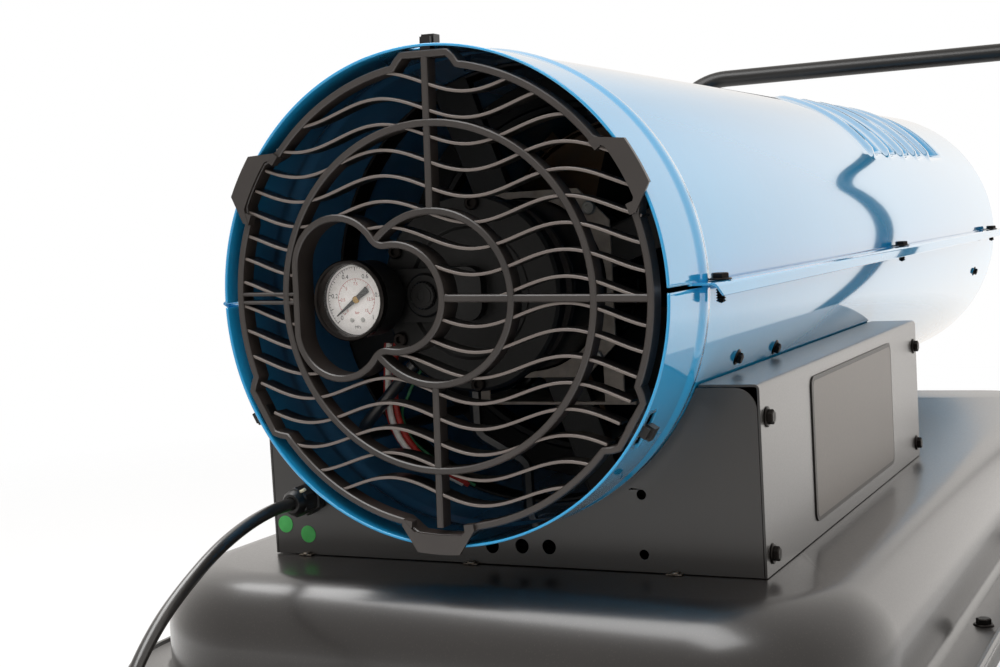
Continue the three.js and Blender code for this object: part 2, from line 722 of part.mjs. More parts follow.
function makeMotor() {
  const barrel = disc(motorRadius, motorFront, motorBack, 16);
  const fins = [];
  for (let i = 0; i < 8; i += 1) {
    const a = i * 45 + 22.5;
    fins.push(sector(motorRadius - 1, motorRadius + 3, a - 2, a + 2, bracketBack + 6, motorBack - 10, 1));
  }
  const way = disc(shaftRadius + runClearance, 0, motorBack + 20, 12);
  add('motor_body', cut(join(barrel, ...fins), way), castMetal());
  const shaftStart = pumpBodyFront + 1;
  add('rotor_shaft', disc(shaftRadius, shaftStart, fanBack + 8, 12), bareSteel());
}

const bracketFront = bracketPlace - bracketWidth / 2;
const bracketBack = bracketPlace + bracketWidth / 2;

function makeBracket() {
  const collarInner = motorRadius + gap;
  const rimOuter = shellInner - gap;
  const rim = ring(rimOuter - bracketWall, rimOuter, bracketFront, bracketBack, shellSides);
  const collar = ring(collarInner, collarInner + bracketWall, bracketFront, bracketBack, 16);
  const arms = [20, 110, 200, 290].map((a) => sector(collarInner + bracketWall - 0.8,
    rimOuter - bracketWall + 0.2, a - 4, a + 4, bracketFront, bracketFront + bracketWall, 1));
  add('motor_bracket', join(rim, collar, ...arms), zincSteel());
}

const fuelHoseAngle = 270;
const airHoseAngle = 225;
const onCircle = (r, angle, y) => [r * Math.cos(rad(angle)), y, r * Math.sin(rad(angle))];

function makeShroud() {
  const rimOuter = shellInner - gap;
  const mouth = fanRadius + shroudClearance;
  const plate = ring(mouth, rimOuter, shroudPlace, shroudPlace + shroudWall, shellSides);
  const ways = [fuelHoseAngle, airHoseAngle].map((a) => rod(hoseRadius + 1.5,
    onCircle(hoseCircle, a, shroudPlace - 5), onCircle(hoseCircle, a, shroudPlace + 10), 8));
  add('fan_shroud', cut(plate, ...ways), zincSteel());
}

function makeFan() {
  let made = disc(fanHubRadius, fanFront, fanBack, 12);
  for (let i = 0; i < fanBlades; i += 1) {
    const blade = new THREE.BoxGeometry(fanRadius - fanHubRadius + 8, bladeThickness, bladeWidth, 2, 1, 1);
    const p = blade.attributes.position;
    for (let v = 0; v < p.count; v += 1) {
      const out = p.getX(v) / (fanRadius - fanHubRadius) + 0.5;
      p.setZ(v, p.getZ(v) * (0.62 + 0.42 * out));
    }
    blade.rotateX(rad(90 - bladePitch));
    blade.translate((fanRadius + fanHubRadius - 8) / 2, fanPlace, 0);
    blade.rotateY(rad((360 / fanBlades) * i));
    made = made.add(solid(blade));
  }
  const tip = disc(fanRadius, fanPlace - bladeWidth, fanPlace + bladeWidth, 24);
  const bore = disc(shaftRadius + gap, 0, fanBack + 20, 12);
  add('fan', cut(made.intersect(tip), bore), castMetal());
}

// ---- combustion chamber and burner ----
const headFront = chamberStart - headDepth;
const nozzleRadius = headHole - gap;
const nozzleBack = headFront + 10;
const nozzleFront = nozzleBack - nozzleLength;
const hosePortY = nozzleFront + 5.5;

function makeChamber() {
  const inner = chamberRadius - chamberWall;
  const can = ring(inner, chamberRadius, chamberStart, chamberEnd, chamberSides);
  const feet = [];
  for (const y of [chamberStart + chamberFootFront, chamberEnd - chamberFootBack]) {
    for (const angle of chamberFootAngles) {
      feet.push(sector(chamberRadius - 1.4, shellInner - 1.2, angle - 4, angle + 4, y, y + footStrap, 1));
    }
  }
  add('combustion_chamber', join(can, ...feet), scaledSteel());
  const wall = headWall;
  const rim = inner - gap;
  const shoulder = rim - headShoulder;
  const profile = [[headHole, headFront], [headHole, headFront + wall], [shoulder, chamberStart + wall],
    [rim - wall, chamberStart + wall + 4], [rim - wall, chamberStart + headSkirt],
    [rim, chamberStart + headSkirt],
    [rim, chamberStart], [shoulder, chamberStart], [headHole, headFront]];
  const sight = rod(sensorNose + 1.2, [sensorX, headFront - headDepth, sensorZ], [sensorX,
    chamberStart + headDepth, sensorZ], 8);
  add('chamber_head', cut(turned(profile, chamberSides), sight), scaledSteel());
  const eyeProfile = [[0, headFront - 8], [sensorRadius, headFront - 8], [sensorRadius, headFront + 4],
    [sensorNose, headFront + 4], [sensorNose, chamberStart + 6], [0, chamberStart + 6]];
  const slope = headDepth / (shoulder - headHole);
  const eyeShift = slope * (Math.hypot(sensorX, sensorZ) - sensorRadius - headHole) - 4 - gap;
  add('flame_sensor', turned(eyeProfile.map(([r, y]) => [r, y + eyeShift]), 8, sensorX, sensorZ),
    blackPlastic());
}

function makeBurner() {
  const seat = headFront - gap;
  const body = turned([[0, nozzleFront], [nozzleBody, nozzleFront], [nozzleBody, seat - 3],
    [nozzleRadius + 6, seat - 3], [nozzleRadius + 6, seat], [nozzleRadius, seat],
    [nozzleRadius, headFront + headWall], [9, nozzleBack], [0, nozzleBack]], 12);
  const hoseWays = [fuelHoseAngle, airHoseAngle].map((a) => rod(hoseRadius + gap,
    onCircle(nozzleBody + 10, a, hosePortY), onCircle(nozzleBody - 6, a, hosePortY), 12));
  const rodWay = rod(igniterRadius + gap, [igniterX, nozzleFront - 5, igniterZ], [igniterX, nozzleBack + 20,
    igniterZ], 12);
  add('nozzle_adapter', cut(body, ...hoseWays, rodWay), castMetal());
  const spark = join(rod(igniterRadius, [igniterX, nozzleFront - 14, igniterZ], [igniterX, nozzleBack + 6,
    igniterZ], 12), rod(1.2, [igniterX, nozzleBack + 5, igniterZ], [igniterX / 2, nozzleBack + 16,
    igniterZ / 2], 8));
  add('igniter', spark, whiteCard());
}

function makeOutlet() {
  const outer = chamberRadius - chamberWall - gap;
  const wall = ringWall;
  const baffleY = chamberEnd - baffleInset;
  const ringBack = chamberEnd + ringLip;
  const profile = [[outer - wall, baffleY - 8], [outer, baffleY - 8], [outer, chamberEnd + 4],
    [chamberRadius - ringLip, ringBack], [chamberRadius - ringLip, ringBack - wall],
    [outer - wall, chamberEnd + 3], [outer - wall, baffleY - 8]];
  const arms = [90, 210, 330].map((a) => sector(baffleRadius - 3, outer - 0.9, a - 4, a + 4,
    baffleY - baffleThickness, baffleY, 1));
  const plate = disc(baffleRadius, baffleY - baffleThickness, baffleY, 24);
  add('outlet_ring', join(turned(profile, chamberSides), plate, ...arms), scaledSteel());
}

// ---- hoses and wires inside ----
function makeHoses() {
  const nozzleY = hosePortY;
  const tip = nozzleBody - 5;
  const portY = pumpFront + pumpCoverThickness / 2;
  const airPath = new BentPath([onCircle(pumpRadius + gap, airHoseAngle, portY),
    onCircle(hoseCircle, airHoseAngle, portY), onCircle(hoseCircle, airHoseAngle, nozzleY),
    onCircle(tip, airHoseAngle, nozzleY)], 20, 3);
  add('air_hose', tube(airPath, hoseRadius, 6), rubber());
  const fuelPath = new BentPath([[hoseHoleX, hoseHoleY, tankTop + nippleHeight + gap],
    [hoseHoleX, hoseHoleY, -hoseCircle], [hoseHoleX, nozzleY, -hoseCircle],
    [hoseHoleX, nozzleY, -tip]], 10, 3);
  add('fuel_hose', tube(fuelPath, hoseRadius, 6), rubber());
  const loomY = motorFront + 24;
  const onFloor = cabinetBottom + sheet + 2 * hoseRadius;
  const [high, middle, low] = loomInset.map((inset) => inset - shellRadius);
  const [along, across] = loomRun;
  const loomPath = new BentPath([[loomX, loomY, -motorRadius - gap + 5], [loomX, loomY, high],
    [hoseHoleX, loomHoleY, middle], [hoseHoleX, loomHoleY, low],
    [boardX + across, loomHoleY + along, onFloor],
    [boardX + sheet + gap, loomHoleY + along, onFloor]], 9, 2);
  add('motor_wires', tube(loomPath, hoseRadius, 6), rubber());
}

// ---- cabinet ----
const plateHalf = cabinetHalfWidth - sheet - gap;
const plateTop = cabinetTop - sheet - gap;

function cabinetPlate(y0, y1, holes) {
  const shape = new THREE.Shape();
  shape.moveTo(-plateHalf, cabinetBottom);
  shape.lineTo(plateHalf, cabinetBottom);
  shape.absarc(plateHalf - plateCorner, plateTop - plateCorner, plateCorner, 0, Math.PI / 2, false);
  shape.absarc(-plateHalf + plateCorner, plateTop - plateCorner, plateCorner, Math.PI / 2, Math.PI, false);
  const drilled = holes.map(([x, z, r]) => disc(r, y0 - 1, y1 + 1, 8, x, cabinetBottom + z));
  return cut(alongY(shape, y0, y1, 2), disc(shellRadius + gap, y0 - 1, y1 + 1, shellSides), ...drilled);
}

function makeCabinet() {
  const glandWay = disc(glandHole, cabinetFront - 1, cabinetFront + sheet + 1, 12, glandX, glandZ);
  const front = cut(cabinetPlate(cabinetFront, cabinetFront + sheet, plateHoles), glandWay);
  const back = cabinetPlate(cabinetBack - sheet, cabinetBack, []);
  const pan = block(-plateHalf, plateHalf, cabinetFront + 0.5, cabinetBack - 0.5, cabinetBottom,
    cabinetBottom + sheet);
  const loomWay = rod(grommetHole, [hoseHoleX, loomHoleY, cabinetBottom - 5], [hoseHoleX, loomHoleY,
    cabinetBottom + 5], 12);
  add('cabinet_frame', cut(join(front, back, pan), loomWay), blackPaint());
}

// A side sheet whose top is folded in to the shell.
function sideCover(side, holes) {
  const reach = Math.sqrt((shellRadius + gap) ** 2 - cabinetTop ** 2) + 1;
  const at = (a, b) => (side > 0 ? [a, b] : [-b, -a]);
  const [x0, x1] = at(cabinetHalfWidth - sheet, cabinetHalfWidth);
  const [f0, f1] = at(reach, cabinetHalfWidth);
  const wall = block(x0, x1, cabinetFront, cabinetBack, cabinetBottom, cabinetTop);
  const fold = block(f0, f1, cabinetFront, cabinetBack, cabinetTop - sheet, cabinetTop);
  return cut(join(wall, fold), ...holes);
}

// A block in the row of controls, given its middle along Y and its half sizes.
function centred(x0, x1, y, [halfLength, halfHeight], out) {
  return block(x0, x1, y - halfLength - out, y + halfLength + out, knobZ - halfHeight - out,
    knobZ + halfHeight + out);
}

function makeCovers() {
  add('cover_right', sideCover(1, []), blackPaint());
  const x = -cabinetHalfWidth;
  const holes = [rod(shaftHole, [x - 5, knobY, knobZ], [x + 5, knobY, knobZ], 16),
    centred(x - 5, x + 5, switchY, switchBody, gap + 0.1),
    centred(x - 5, x + 5, displayY, displayHalf, 0)];
  add('cover_left', sideCover(-1, holes), blackPaint());
  const label = roundedRectangle(labelFront, labelBack, cabinetBottom + labelBottomInset,
    cabinetTop - labelTopInset, labelCorner);
  const labelFace = cabinetHalfWidth + gap;
  add('label_plate', alongX(label, labelFace, labelFace + labelThickness, 2), greyLabel());
}

function makeControls() {
  const x = -cabinetHalfWidth;
  const knob = turnedAlongX([[0, knobHeight], [knobRadius - 2, knobHeight], [knobRadius - 0.5,
    knobHeight - 1.5], [knobRadius, 1 + gap], [4, 1 + gap], [shaftHole - 0.4, 1], [shaftHole - 0.4,
    gap - boardInset], [0, gap - boardInset]].map(([r, h]) => [r, x - h]), 16, knobY, knobZ);
  const pointer = block(x - knobHeight - 2, x - knobHeight + 2, knobY - 1.5, knobY + 1.5, knobZ - 1,
    knobZ + knobRadius - 3);
  add('thermostat_knob', join(knob, pointer), blackPlastic());
  const housing = cut(join(centred(x - 2.5, x - gap, switchY, switchHalf, 0),
    centred(x - gap, x + switchDepth, switchY, switchBody, 0)),
  centred(x - 3, x + switchDepth - 2, switchY, rockerWell, 0));
  add('switch_housing', housing, blackPlastic());
  add('power_switch', makeRocker(x), rubber());
  const board = block(boardX, boardX + sheet, boardFront, boardBack, cabinetBottom + sheet + gap,
    cabinetTop - boardTopInset);
  const parts = [relay, connector].map(([y0, y1, low, high, thick]) => block(boardX + sheet - 0.2,
    boardX + thick, y0, y1, cabinetBottom + low, cabinetBottom + high));
  const display = centred(x + sheet + gap + 0.4, boardX + 0.2, displayY, displayHalf, 0);
  add('control_board', join(board, ...parts, display), boardGreen());
  const right = cabinetHalfWidth - sheet - transformerInset;
  const left = right - transformerWidth;
  const foot = cabinetBottom + sheet + gap;
  const coreTop = foot + transformerHeight;
  const core = block(left, right, transformerFront, transformerBack, foot, coreTop);
  const quarter = (transformerBack - transformerFront) / 4;
  const posts = [transformerFront + quarter, transformerBack - quarter].map((y) => rod(postRadius,
    [(left + right) / 2, y, coreTop - 2], [(left + right) / 2, y, coreTop + postHeight], 12));
  add('ignition_transformer', join(core, ...posts), castMetal());
}

// A rocker that pivots about a line along Y just inside the cover.
function makeRocker(x) {
  const shape = new THREE.Shape([new THREE.Vector2(-7.5, -9.2), new THREE.Vector2(6, -8),
    new THREE.Vector2(6, 8), new THREE.Vector2(-3.4, 9.2), new THREE.Vector2(-1.8, 0)]);
  const piece = alongY(shape, switchY - 7.7, switchY + 7.7);
  return piece.translate([x + 3, 0, knobZ]);
}

// ---- cable gland, cord and plug ----
function makeGland() {
  const y = cabinetFront;
  const inside = y + sheet + gap;
  const profile = [[0, y - glandLength], [cordRadius + 1.6, y - glandLength], [glandCollar - 2, y - 12],
    [glandCollar, y - 9], [glandCollar, y - gap], [glandHole - gap, y - gap], [glandHole - gap, inside],
    [glandCollar - 1, inside], [glandCollar - 1, inside + 5], [0, inside + 5]];
  add('cable_gland', turned(profile, 12, glandX, glandZ), blackPlastic());
}

function makeCord() {
  const points = cordRoute.map((p) => new THREE.Vector3(...p));
  const route = new THREE.CatmullRomCurve3(points, false, 'centripetal');
  const section = new THREE.Shape(Array.from({ length: 8 }, (_, k) => {
    const a = (k * Math.PI) / 4;
    return new THREE.Vector2(cordRadius * Math.cos(a), cordRadius * Math.sin(a));
  }));
  const options = { steps: 20, extrudePath: route, bevelEnabled: false };
  add('power_cord', solid(new THREE.ExtrudeGeometry(section, options)), rubber());
  return route.getLength();
}

// The coil's middle line: round and inwards on the floor, up a layer, and outwards again.
const coilTurns = 2 * coilTurnsPerLayer + 0.5;
const coilStart = cordRoute[cordRoute.length - 1];
const coilX = coilStart[0] - gap - 2 * cordRadius;
const coilY = coilStart[1] + coilOuter;
const coilZ = coilStart[2];
const coilExitY = coilY + coilOuter;

function coilPoint(turns) {
  const inwards = Math.min(turns, coilTurns - turns);
  const radius = coilOuter - coilPitch * inwards;
  const climb = THREE.MathUtils.clamp((turns - coilTurnsPerLayer) / 0.5, 0, 1);
  const rise = coilPitch * climb * climb * (3 - 2 * climb);
  const a = -Math.PI / 2 - 2 * Math.PI * turns;
  return new THREE.Vector3(coilX + radius * Math.cos(a), coilY + radius * Math.sin(a), coilZ + rise);
}

// Rings of six points along the middle line, joined into one closed tube.
function ropeSolid(line, radius) {
  const sides = 6;
  const points = [];
  const index = [];
  line.forEach((p, i) => {
    const before = line[Math.max(i - 1, 0)];
    const after = line[Math.min(i + 1, line.length - 1)];
    const ahead = after.clone().sub(before).normalize();
    const across = new THREE.Vector3(0, 0, 1).cross(ahead).normalize();
    const up = ahead.clone().cross(across);
    for (let k = 0; k < sides; k += 1) {
      const a = (2 * Math.PI * k) / sides;
      points.push(p.clone().addScaledVector(across, radius * Math.cos(a))
        .addScaledVector(up, radius * Math.sin(a)));
    }
  });
  const last = (line.length - 1) * sides;
  for (let i = 0; i < line.length - 1; i += 1) {
    for (let k = 0; k < sides; k += 1) {
      const [a, b] = [i * sides + k, i * sides + ((k + 1) % sides)];
      index.push(a, a + sides, b, b, a + sides, b + sides);
    }
  }
  for (let k = 1; k < sides - 1; k += 1) {
    index.push(0, k, k + 1, last, last + k + 1, last + k);
  }
  const geometry = new THREE.BufferGeometry().setFromPoints(points);
  geometry.setIndex(index);
  return solid(geometry);
}

function makeCoil() {
  const steps = 24 * coilTurns;
  const line = [new THREE.Vector3(coilStart[0] - gap, coilStart[1], coilZ)];
  for (let i = 0; i <= steps; i += 1) {
    line.push(coilPoint(i / 24));
  }
  line.push(new THREE.Vector3(coilX + coilTail, coilExitY, coilZ + coilPitch));
  add('cord_coil', ropeSolid(line, cordRadius), rubber());
  let length = 0;
  let leastGap = Infinity;
  line.forEach((p, i) => {
    if (i > 0) length += p.distanceTo(line[i - 1]);
    for (let k = i + 12; k < line.length; k += 1) {
      leastGap = Math.min(leastGap, p.distanceTo(line[k]) - 2 * cordRadius);
    }
  });
  console.log(`coil: ${length.toFixed(0)} mm of cord, least gap to itself ${leastGap.toFixed(2)} mm`);
  return length;
}

// A strap round all the turns, where they pass the coil's left side.
function makeTie() {
  const inner = coilOuter - coilPitch * (coilTurns / 2) - cordRadius - 0.5;
  const outer = coilOuter - coilPitch / 4 + cordRadius + 0.7;
  const [z0, z1] = [coilZ - cordRadius - gap, coilZ + coilPitch + cordRadius + gap];
  const t = tieThickness;
  const band = (out) => alongY(roundedRectangle(coilX - outer - out, coilX - inner + out, z0 - out, z1 + out,
    2 + out), coilY - tieWidth / 2 - (out ? 0 : 1), coilY + tieWidth / 2 + (out ? 0 : 1), 1);
  add('cord_tie', cut(band(t), band(0)), blackPlastic());
}

// A two-pin plug that lies on the floor behind the coil.
function makePlug() {
  const x = coilX + coilTail + gap;
  const z = coilZ + coilPitch;
  const half = z - floorLevel - 0.2;
  const relief = turnedAlongX([[0, x], [cordRadius + 1.2, x], [9, x + plugRelief - 8], [9, x + plugRelief],
    [0, x + plugRelief]], 10, coilExitY, z);
  const bodyStart = x + plugRelief - 4;
  const bodyEnd = bodyStart + plugBody;
  const body = roundedRectangle(coilExitY - plugWidth / 2, coilExitY + plugWidth / 2, z - half, z + half, 9);
  const pins = [-pinSpread, pinSpread].map((side) => turnedAlongX([[0, bodyEnd - 2], [pinRadius,
    bodyEnd - 2], [pinRadius, bodyEnd + pinLength - 1], [pinRadius / 2, bodyEnd + pinLength],
  [0, bodyEnd + pinLength]], 8, coilExitY + side, z));
  add('mains_plug', join(relief, alongX(body, bodyStart, bodyEnd, 2), ...pins), blackPlastic());
}

// ---- tank ----
// A pressed pan: rolled edges above and below the seam plane, as one closed lump.
function pan(out, depth, roll) {
  const w = tankHalfWidth + out;
  const shape = roundedRectangle(-w, w, tankFront - out, tankBack + out, tankCorner + out);
  const options = {
    depth: 2 * (depth - roll),
    bevelEnabled: true,
    bevelThickness: roll,
    bevelSize: roll,
    bevelOffset: -roll,
    bevelSegments: 2,
    curveSegments: tankCornerSteps,
  };
  const geometry = new THREE.ExtrudeGeometry(shape, options);
  geometry.translate(0, 0, tankSeam - (depth - roll));
  return solid(geometry);
}

function flangePlate(out, z0, z1) {
  const w = tankHalfWidth + out;
  const shape = roundedRectangle(-w, w, tankFront - out, tankBack + out, tankCorner + out);
  const options = { depth: z1 - z0, bevelEnabled: false, curveSegments: tankCornerSteps };
  const geometry = new THREE.ExtrudeGeometry(shape, options);
  geometry.translate(0, 0, z0);
  return solid(geometry);
}

const lots = 2000; // beyond every side of the tank

function makeTank() {
  const seamZ = tankSeam;
  const above = block(-lots, lots, -lots, lots, seamZ, lots);
  const below = block(-lots, lots, -lots, lots, -lots, seamZ - tankFlangeThickness - gap);
  const outerUp = pan(0, tankUpperDepth, tankRoll).intersect(above);
  const innerUp = pan(-tankWall, tankUpperDepth - tankWall, tankRoll - tankWall);
  const flangeUp = flangePlate(tankFlange, seamZ - tankFlangeThickness, seamZ);
  const openUp = flangePlate(-tankWall, seamZ - tankFlangeThickness - 1, seamZ + 1);
  const neck = turnedAlongZ([[fillerRadius - tankWall, tankTop - 6], [fillerRadius, tankTop - 6],
    [fillerRadius, tankTop + fillerHeight], [fillerRadius - tankWall, tankTop + fillerHeight],
    [fillerRadius - tankWall, tankTop - 6]], 20, fillerX, fillerY);
  const mouth = turnedAlongZ(discProfile(fillerRadius - tankWall, tankTop - 12, tankTop + 30), 20, fillerX,
    fillerY);
  const nipple = turnedAlongZ(discProfile(nippleRadius, tankTop - 1, tankTop + nippleHeight), 12, hoseHoleX,
    hoseHoleY);
  const nippleBore = turnedAlongZ(discProfile(3, tankTop - 8, tankTop + nippleHeight + 1), 8, hoseHoleX,
    hoseHoleY);
  const gaugeHole = turnedAlongZ(discProfile(12, tankTop - 8, tankTop + 8), 16, fillerX, fuelGaugeY);
  add('tank_upper', cut(join(cut(join(outerUp, flangeUp), innerUp.intersect(above), openUp), neck, nipple),
    mouth, nippleBore, gaugeHole), blackPaint());
  const lowTop = seamZ - tankFlangeThickness - gap;
  const outerLow = pan(0, tankLowerDepth, tankRoll - 6).intersect(below);
  const innerLow = pan(-tankWall, tankLowerDepth - tankWall, tankRoll - 6 - tankWall);
  const flangeLow = flangePlate(tankFlange, lowTop - tankFlangeThickness, lowTop);
  const openLow = flangePlate(-tankWall, lowTop - tankFlangeThickness - 1, lowTop + 1);
  const boss = turnedAlongZ(discProfile(drainRadius + drainBoss, tankBottom - 2, tankBottom + 6), 20, drainX,
    drainY);
  const drainWay = turnedAlongZ(discProfile(drainRadius + 0.1, tankBottom - 6, tankBottom + 12), 20, drainX,
    drainY);
  add('tank_lower', cut(join(cut(join(outerLow, flangeLow), innerLow.intersect(below), openLow), boss),
    drainWay), blackPaint());
}

function makeTankFittings() {
  const top = tankTop + fillerHeight + gap;
  const skirt = fillerRadius + gap;
  const capFoot = tankTop + 3;
  const capTop = capFoot + capHeight;
  const cap = turnedAlongZ([[0, top], [skirt, top], [skirt, capFoot], [capRadius, capFoot],
    [capRadius, capTop - 4], [capRadius - 3, capTop], [0, capTop]], 20, fillerX, fillerY);
  const grips = [0, 1, 2, 3, 4, 5].map((i) => {
    const a = rad(i * 60 + 30);
    const c = [fillerX + (capRadius + 3) * Math.cos(a), fillerY + (capRadius + 3) * Math.sin(a)];
    return turnedAlongZ(discProfile(capGrip, capFoot - 1, capTop + 1), 6, c[0], c[1]);
  });
  add('fuel_cap', cut(cap, ...grips), blackPlastic());
  const foot = tankTop + gap;
  const levelGauge = turnedAlongZ([[0, foot - 14], [11.5, foot - 14], [11.5, foot], [fuelGaugeRadius, foot],
    [fuelGaugeRadius, foot + 9], [fuelGaugeRadius - 2, foot + 11], [fuelGaugeRadius - 4, foot + 11],
    [fuelGaugeRadius - 4, foot + 9.5], [0, foot + 9.5]], 16, fillerX, fuelGaugeY);
  add('fuel_level_gauge', levelGauge, blackPlastic());
  const seat = tankBottom - 2 - gap;
  const plug = turnedAlongZ([[0, seat - 9], [drainRadius + 2, seat - 9], [drainRadius + 4, seat - 7],
    [drainRadius + 4, seat], [drainRadius - gap, seat], [drainRadius - gap, seat + 12], [0, seat + 12]], 6,
  drainX, drainY);
  add('drain_plug', plug, zincSteel());
}

// ---- frame, handle and wheels ----
const flangeLowUnder = tankSeam - 2 * tankFlangeThickness - gap;
const frameZ = flangeLowUnder - gap - frameTube;
const axleZ = floorLevel + tyreRadius;
const legZ = floorLevel + footRadius;

function mirrored(points) {
  return [...points, ...points.map(([x, y, z]) => [-x, y, z]).reverse()];
}

function makeFrame() {
  const rise = [frameRiseY - wheelY, frameZ - axleZ];
  const past = 20 / Math.hypot(...rise);
  const corners = mirrored([[frameX, wheelY - rise[0] * past, axleZ - rise[1] * past],
    [frameX, frameRiseY, frameZ], [frameX, frameBendY, frameZ], [frameX, frameLegY, legZ]]);
  const axleWay = rod(axleRadius + gap, [-frameX - 30, wheelY, axleZ], [frameX + 30, wheelY, axleZ], 12);
  add('wheel_frame', cut(tube(new BentPath(corners, bendRadius), frameTube, 8), axleWay), blackPaint());
  const nearZ = tankSeam + gap + handleTube;
  const handleCorners = mirrored([[frameX, handleFootFront, nearZ], [frameX, handleFootBack, nearZ],
    [frameX, handleY, handleZ]]);
  add('handle', tube(new BentPath(handleCorners, bendRadius), handleTube, 8), blackPaint());
  for (const side of [-1, 1]) {
    const [x0, x1] = [side * footX - footLength / 2, side * footX + footLength / 2];
    const bore = frameTube / Math.cos(Math.PI / footSides) + gap;
    const profile = [[bore, x0], [footRadius - 1, x0], [footRadius, x0 + 1.5], [footRadius, x1 - 1.5],
      [footRadius - 1, x1], [bore, x1], [bore, x0]];
    add(`foot_${side < 0 ? 'left' : 'right'}`, turnedAlongX(profile, footSides, frameLegY, legZ), rubber());
  }
}

function makeWheels() {
  const hubEnd = wheelInner + tyreWidth;
  const reach = hubEnd + gap;
  const axle = turnedAlongX([[0, -reach - 7], [9, -reach - 7], [12, -reach - 4], [12, -reach],
    [axleRadius, -reach], [axleRadius, reach], [12, reach], [12, reach + 4], [9, reach + 7], [0, reach + 7]],
  12, wheelY, axleZ);
  add('axle', axle, zincSteel());
  const bore = axleRadius + gap;
  const seat = rimRadius + 4;
  for (const side of [-1, 1]) {
    const sideName = side < 0 ? 'left' : 'right';
    const across = (profile) => profile.map(([r, x]) => [r, side * x]);
    const [a, b] = [wheelInner, hubEnd];
    const middle = (a + b) / 2;
    const rim = turnedAlongX(across([[bore, a], [wheelHub - 2, a], [wheelHub, middle - 3],
      [rimRadius - 4, middle - 3], [seat, a + 4], [seat, b - 4], [rimRadius - 4, middle + 3],
      [wheelHub, middle + 3], [wheelHub - 2, b], [bore, b], [bore, a]]), wheelSides, wheelY, axleZ);
    add(`wheel_${sideName}`, rim, blackPlastic());
    const tyre = turnedAlongX(across([[seat + gap, a + 4], [tyreRadius - 8, a], [tyreRadius, a + 10],
      [tyreRadius, b - 10], [tyreRadius - 8, b], [seat + gap, b - 4], [seat + gap, a + 4]]), wheelSides,
    wheelY, axleZ);
    add(`tyre_${sideName}`, tyre, rubber());
  }
}

makeShellLower();
makeShellUpper();
makeGrille();
makeGauge();
makePump();
makeMotor();
makeBracket();
makeShroud();
makeFan();
makeChamber();
makeBurner();
makeOutlet();
makeHoses();
makeCabinet();
makeCovers();
makeControls();
makeGland();
const freeLength = makeCord();
const coilLength = makeCoil();
console.log(`cord: ${(freeLength + coilLength).toFixed(0)} mm in all`);
makeTie();
makePlug();
makeTank();
makeTankFittings();
makeFrame();
makeWheels();
makeSeamScrews();

export default heater;
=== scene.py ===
import bmesh
import bpy
from math import atan2, cos, degrees, pi, radians, sin, sqrt
from mathutils import Matrix, Vector
from mathutils.geometry import tessellate_polygon


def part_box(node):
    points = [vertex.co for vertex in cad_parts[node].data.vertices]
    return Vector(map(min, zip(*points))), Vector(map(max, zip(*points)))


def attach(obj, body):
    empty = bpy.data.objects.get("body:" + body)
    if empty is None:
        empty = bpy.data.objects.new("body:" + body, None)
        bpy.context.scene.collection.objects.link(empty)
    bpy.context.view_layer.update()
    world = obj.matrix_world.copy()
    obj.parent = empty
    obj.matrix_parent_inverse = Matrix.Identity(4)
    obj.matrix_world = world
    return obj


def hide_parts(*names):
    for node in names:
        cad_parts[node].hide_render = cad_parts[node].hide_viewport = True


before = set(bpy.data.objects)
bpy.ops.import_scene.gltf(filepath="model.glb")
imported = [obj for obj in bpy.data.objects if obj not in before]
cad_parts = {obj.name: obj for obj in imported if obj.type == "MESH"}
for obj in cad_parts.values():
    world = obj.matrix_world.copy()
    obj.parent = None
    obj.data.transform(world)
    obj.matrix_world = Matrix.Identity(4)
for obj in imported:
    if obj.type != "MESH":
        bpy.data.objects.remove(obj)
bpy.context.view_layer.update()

# Shapes are drawn in millimetres from the shell's axis in the plane of the intake:
# x to the right seen from the intake, y towards the outlet, z up.
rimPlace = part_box("shell_lower")[0].y
axisPlace = (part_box("tyre_left")[1].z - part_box("tyre_left")[0].z) / 2 + 0.365
floorLevel = -axisPlace * 1000


def linked(name, data):
    made = bpy.data.objects.new(name, data)
    bpy.context.scene.collection.objects.link(made)
    return made


def inFrame(p):
    return Vector((p[0] / 1000, p[1] / 1000 + rimPlace, p[2] / 1000 + axisPlace))


class Sizes(dict):
    # a piece's settings, read by name
    __getattr__ = dict.__getitem__


# camera
camera = Sizes({
    "spot": (440.34, -793.99, 42.4), "azimuth": 26.51, "down": 4.13, "roll": -3.27, "lens": 54.95,
})


def placeCamera(settings):
    turn, down, roll = radians(settings.azimuth), radians(settings.down), radians(settings.roll)
    ahead = Vector((-sin(turn) * cos(down), cos(turn) * cos(down), -sin(down)))
    right = Vector((cos(turn), sin(turn), 0))
    up = right.cross(ahead)
    rolledRight = right * cos(roll) + up * sin(roll)
    rolledUp = up * cos(roll) - right * sin(roll)
    data = bpy.data.cameras.new("photoCamera")
    data.lens = settings.lens
    data.sensor_width = 36
    data.sensor_fit = "HORIZONTAL"
    data.clip_end = 50
    holder = linked("photoCamera", data)
    matrix = Matrix((rolledRight, rolledUp, -ahead)).transposed().to_4x4()
    matrix.translation = inFrame(settings.spot)
    holder.matrix_world = matrix
    bpy.context.scene.camera = holder


placeCamera(camera)
print("camera placed")


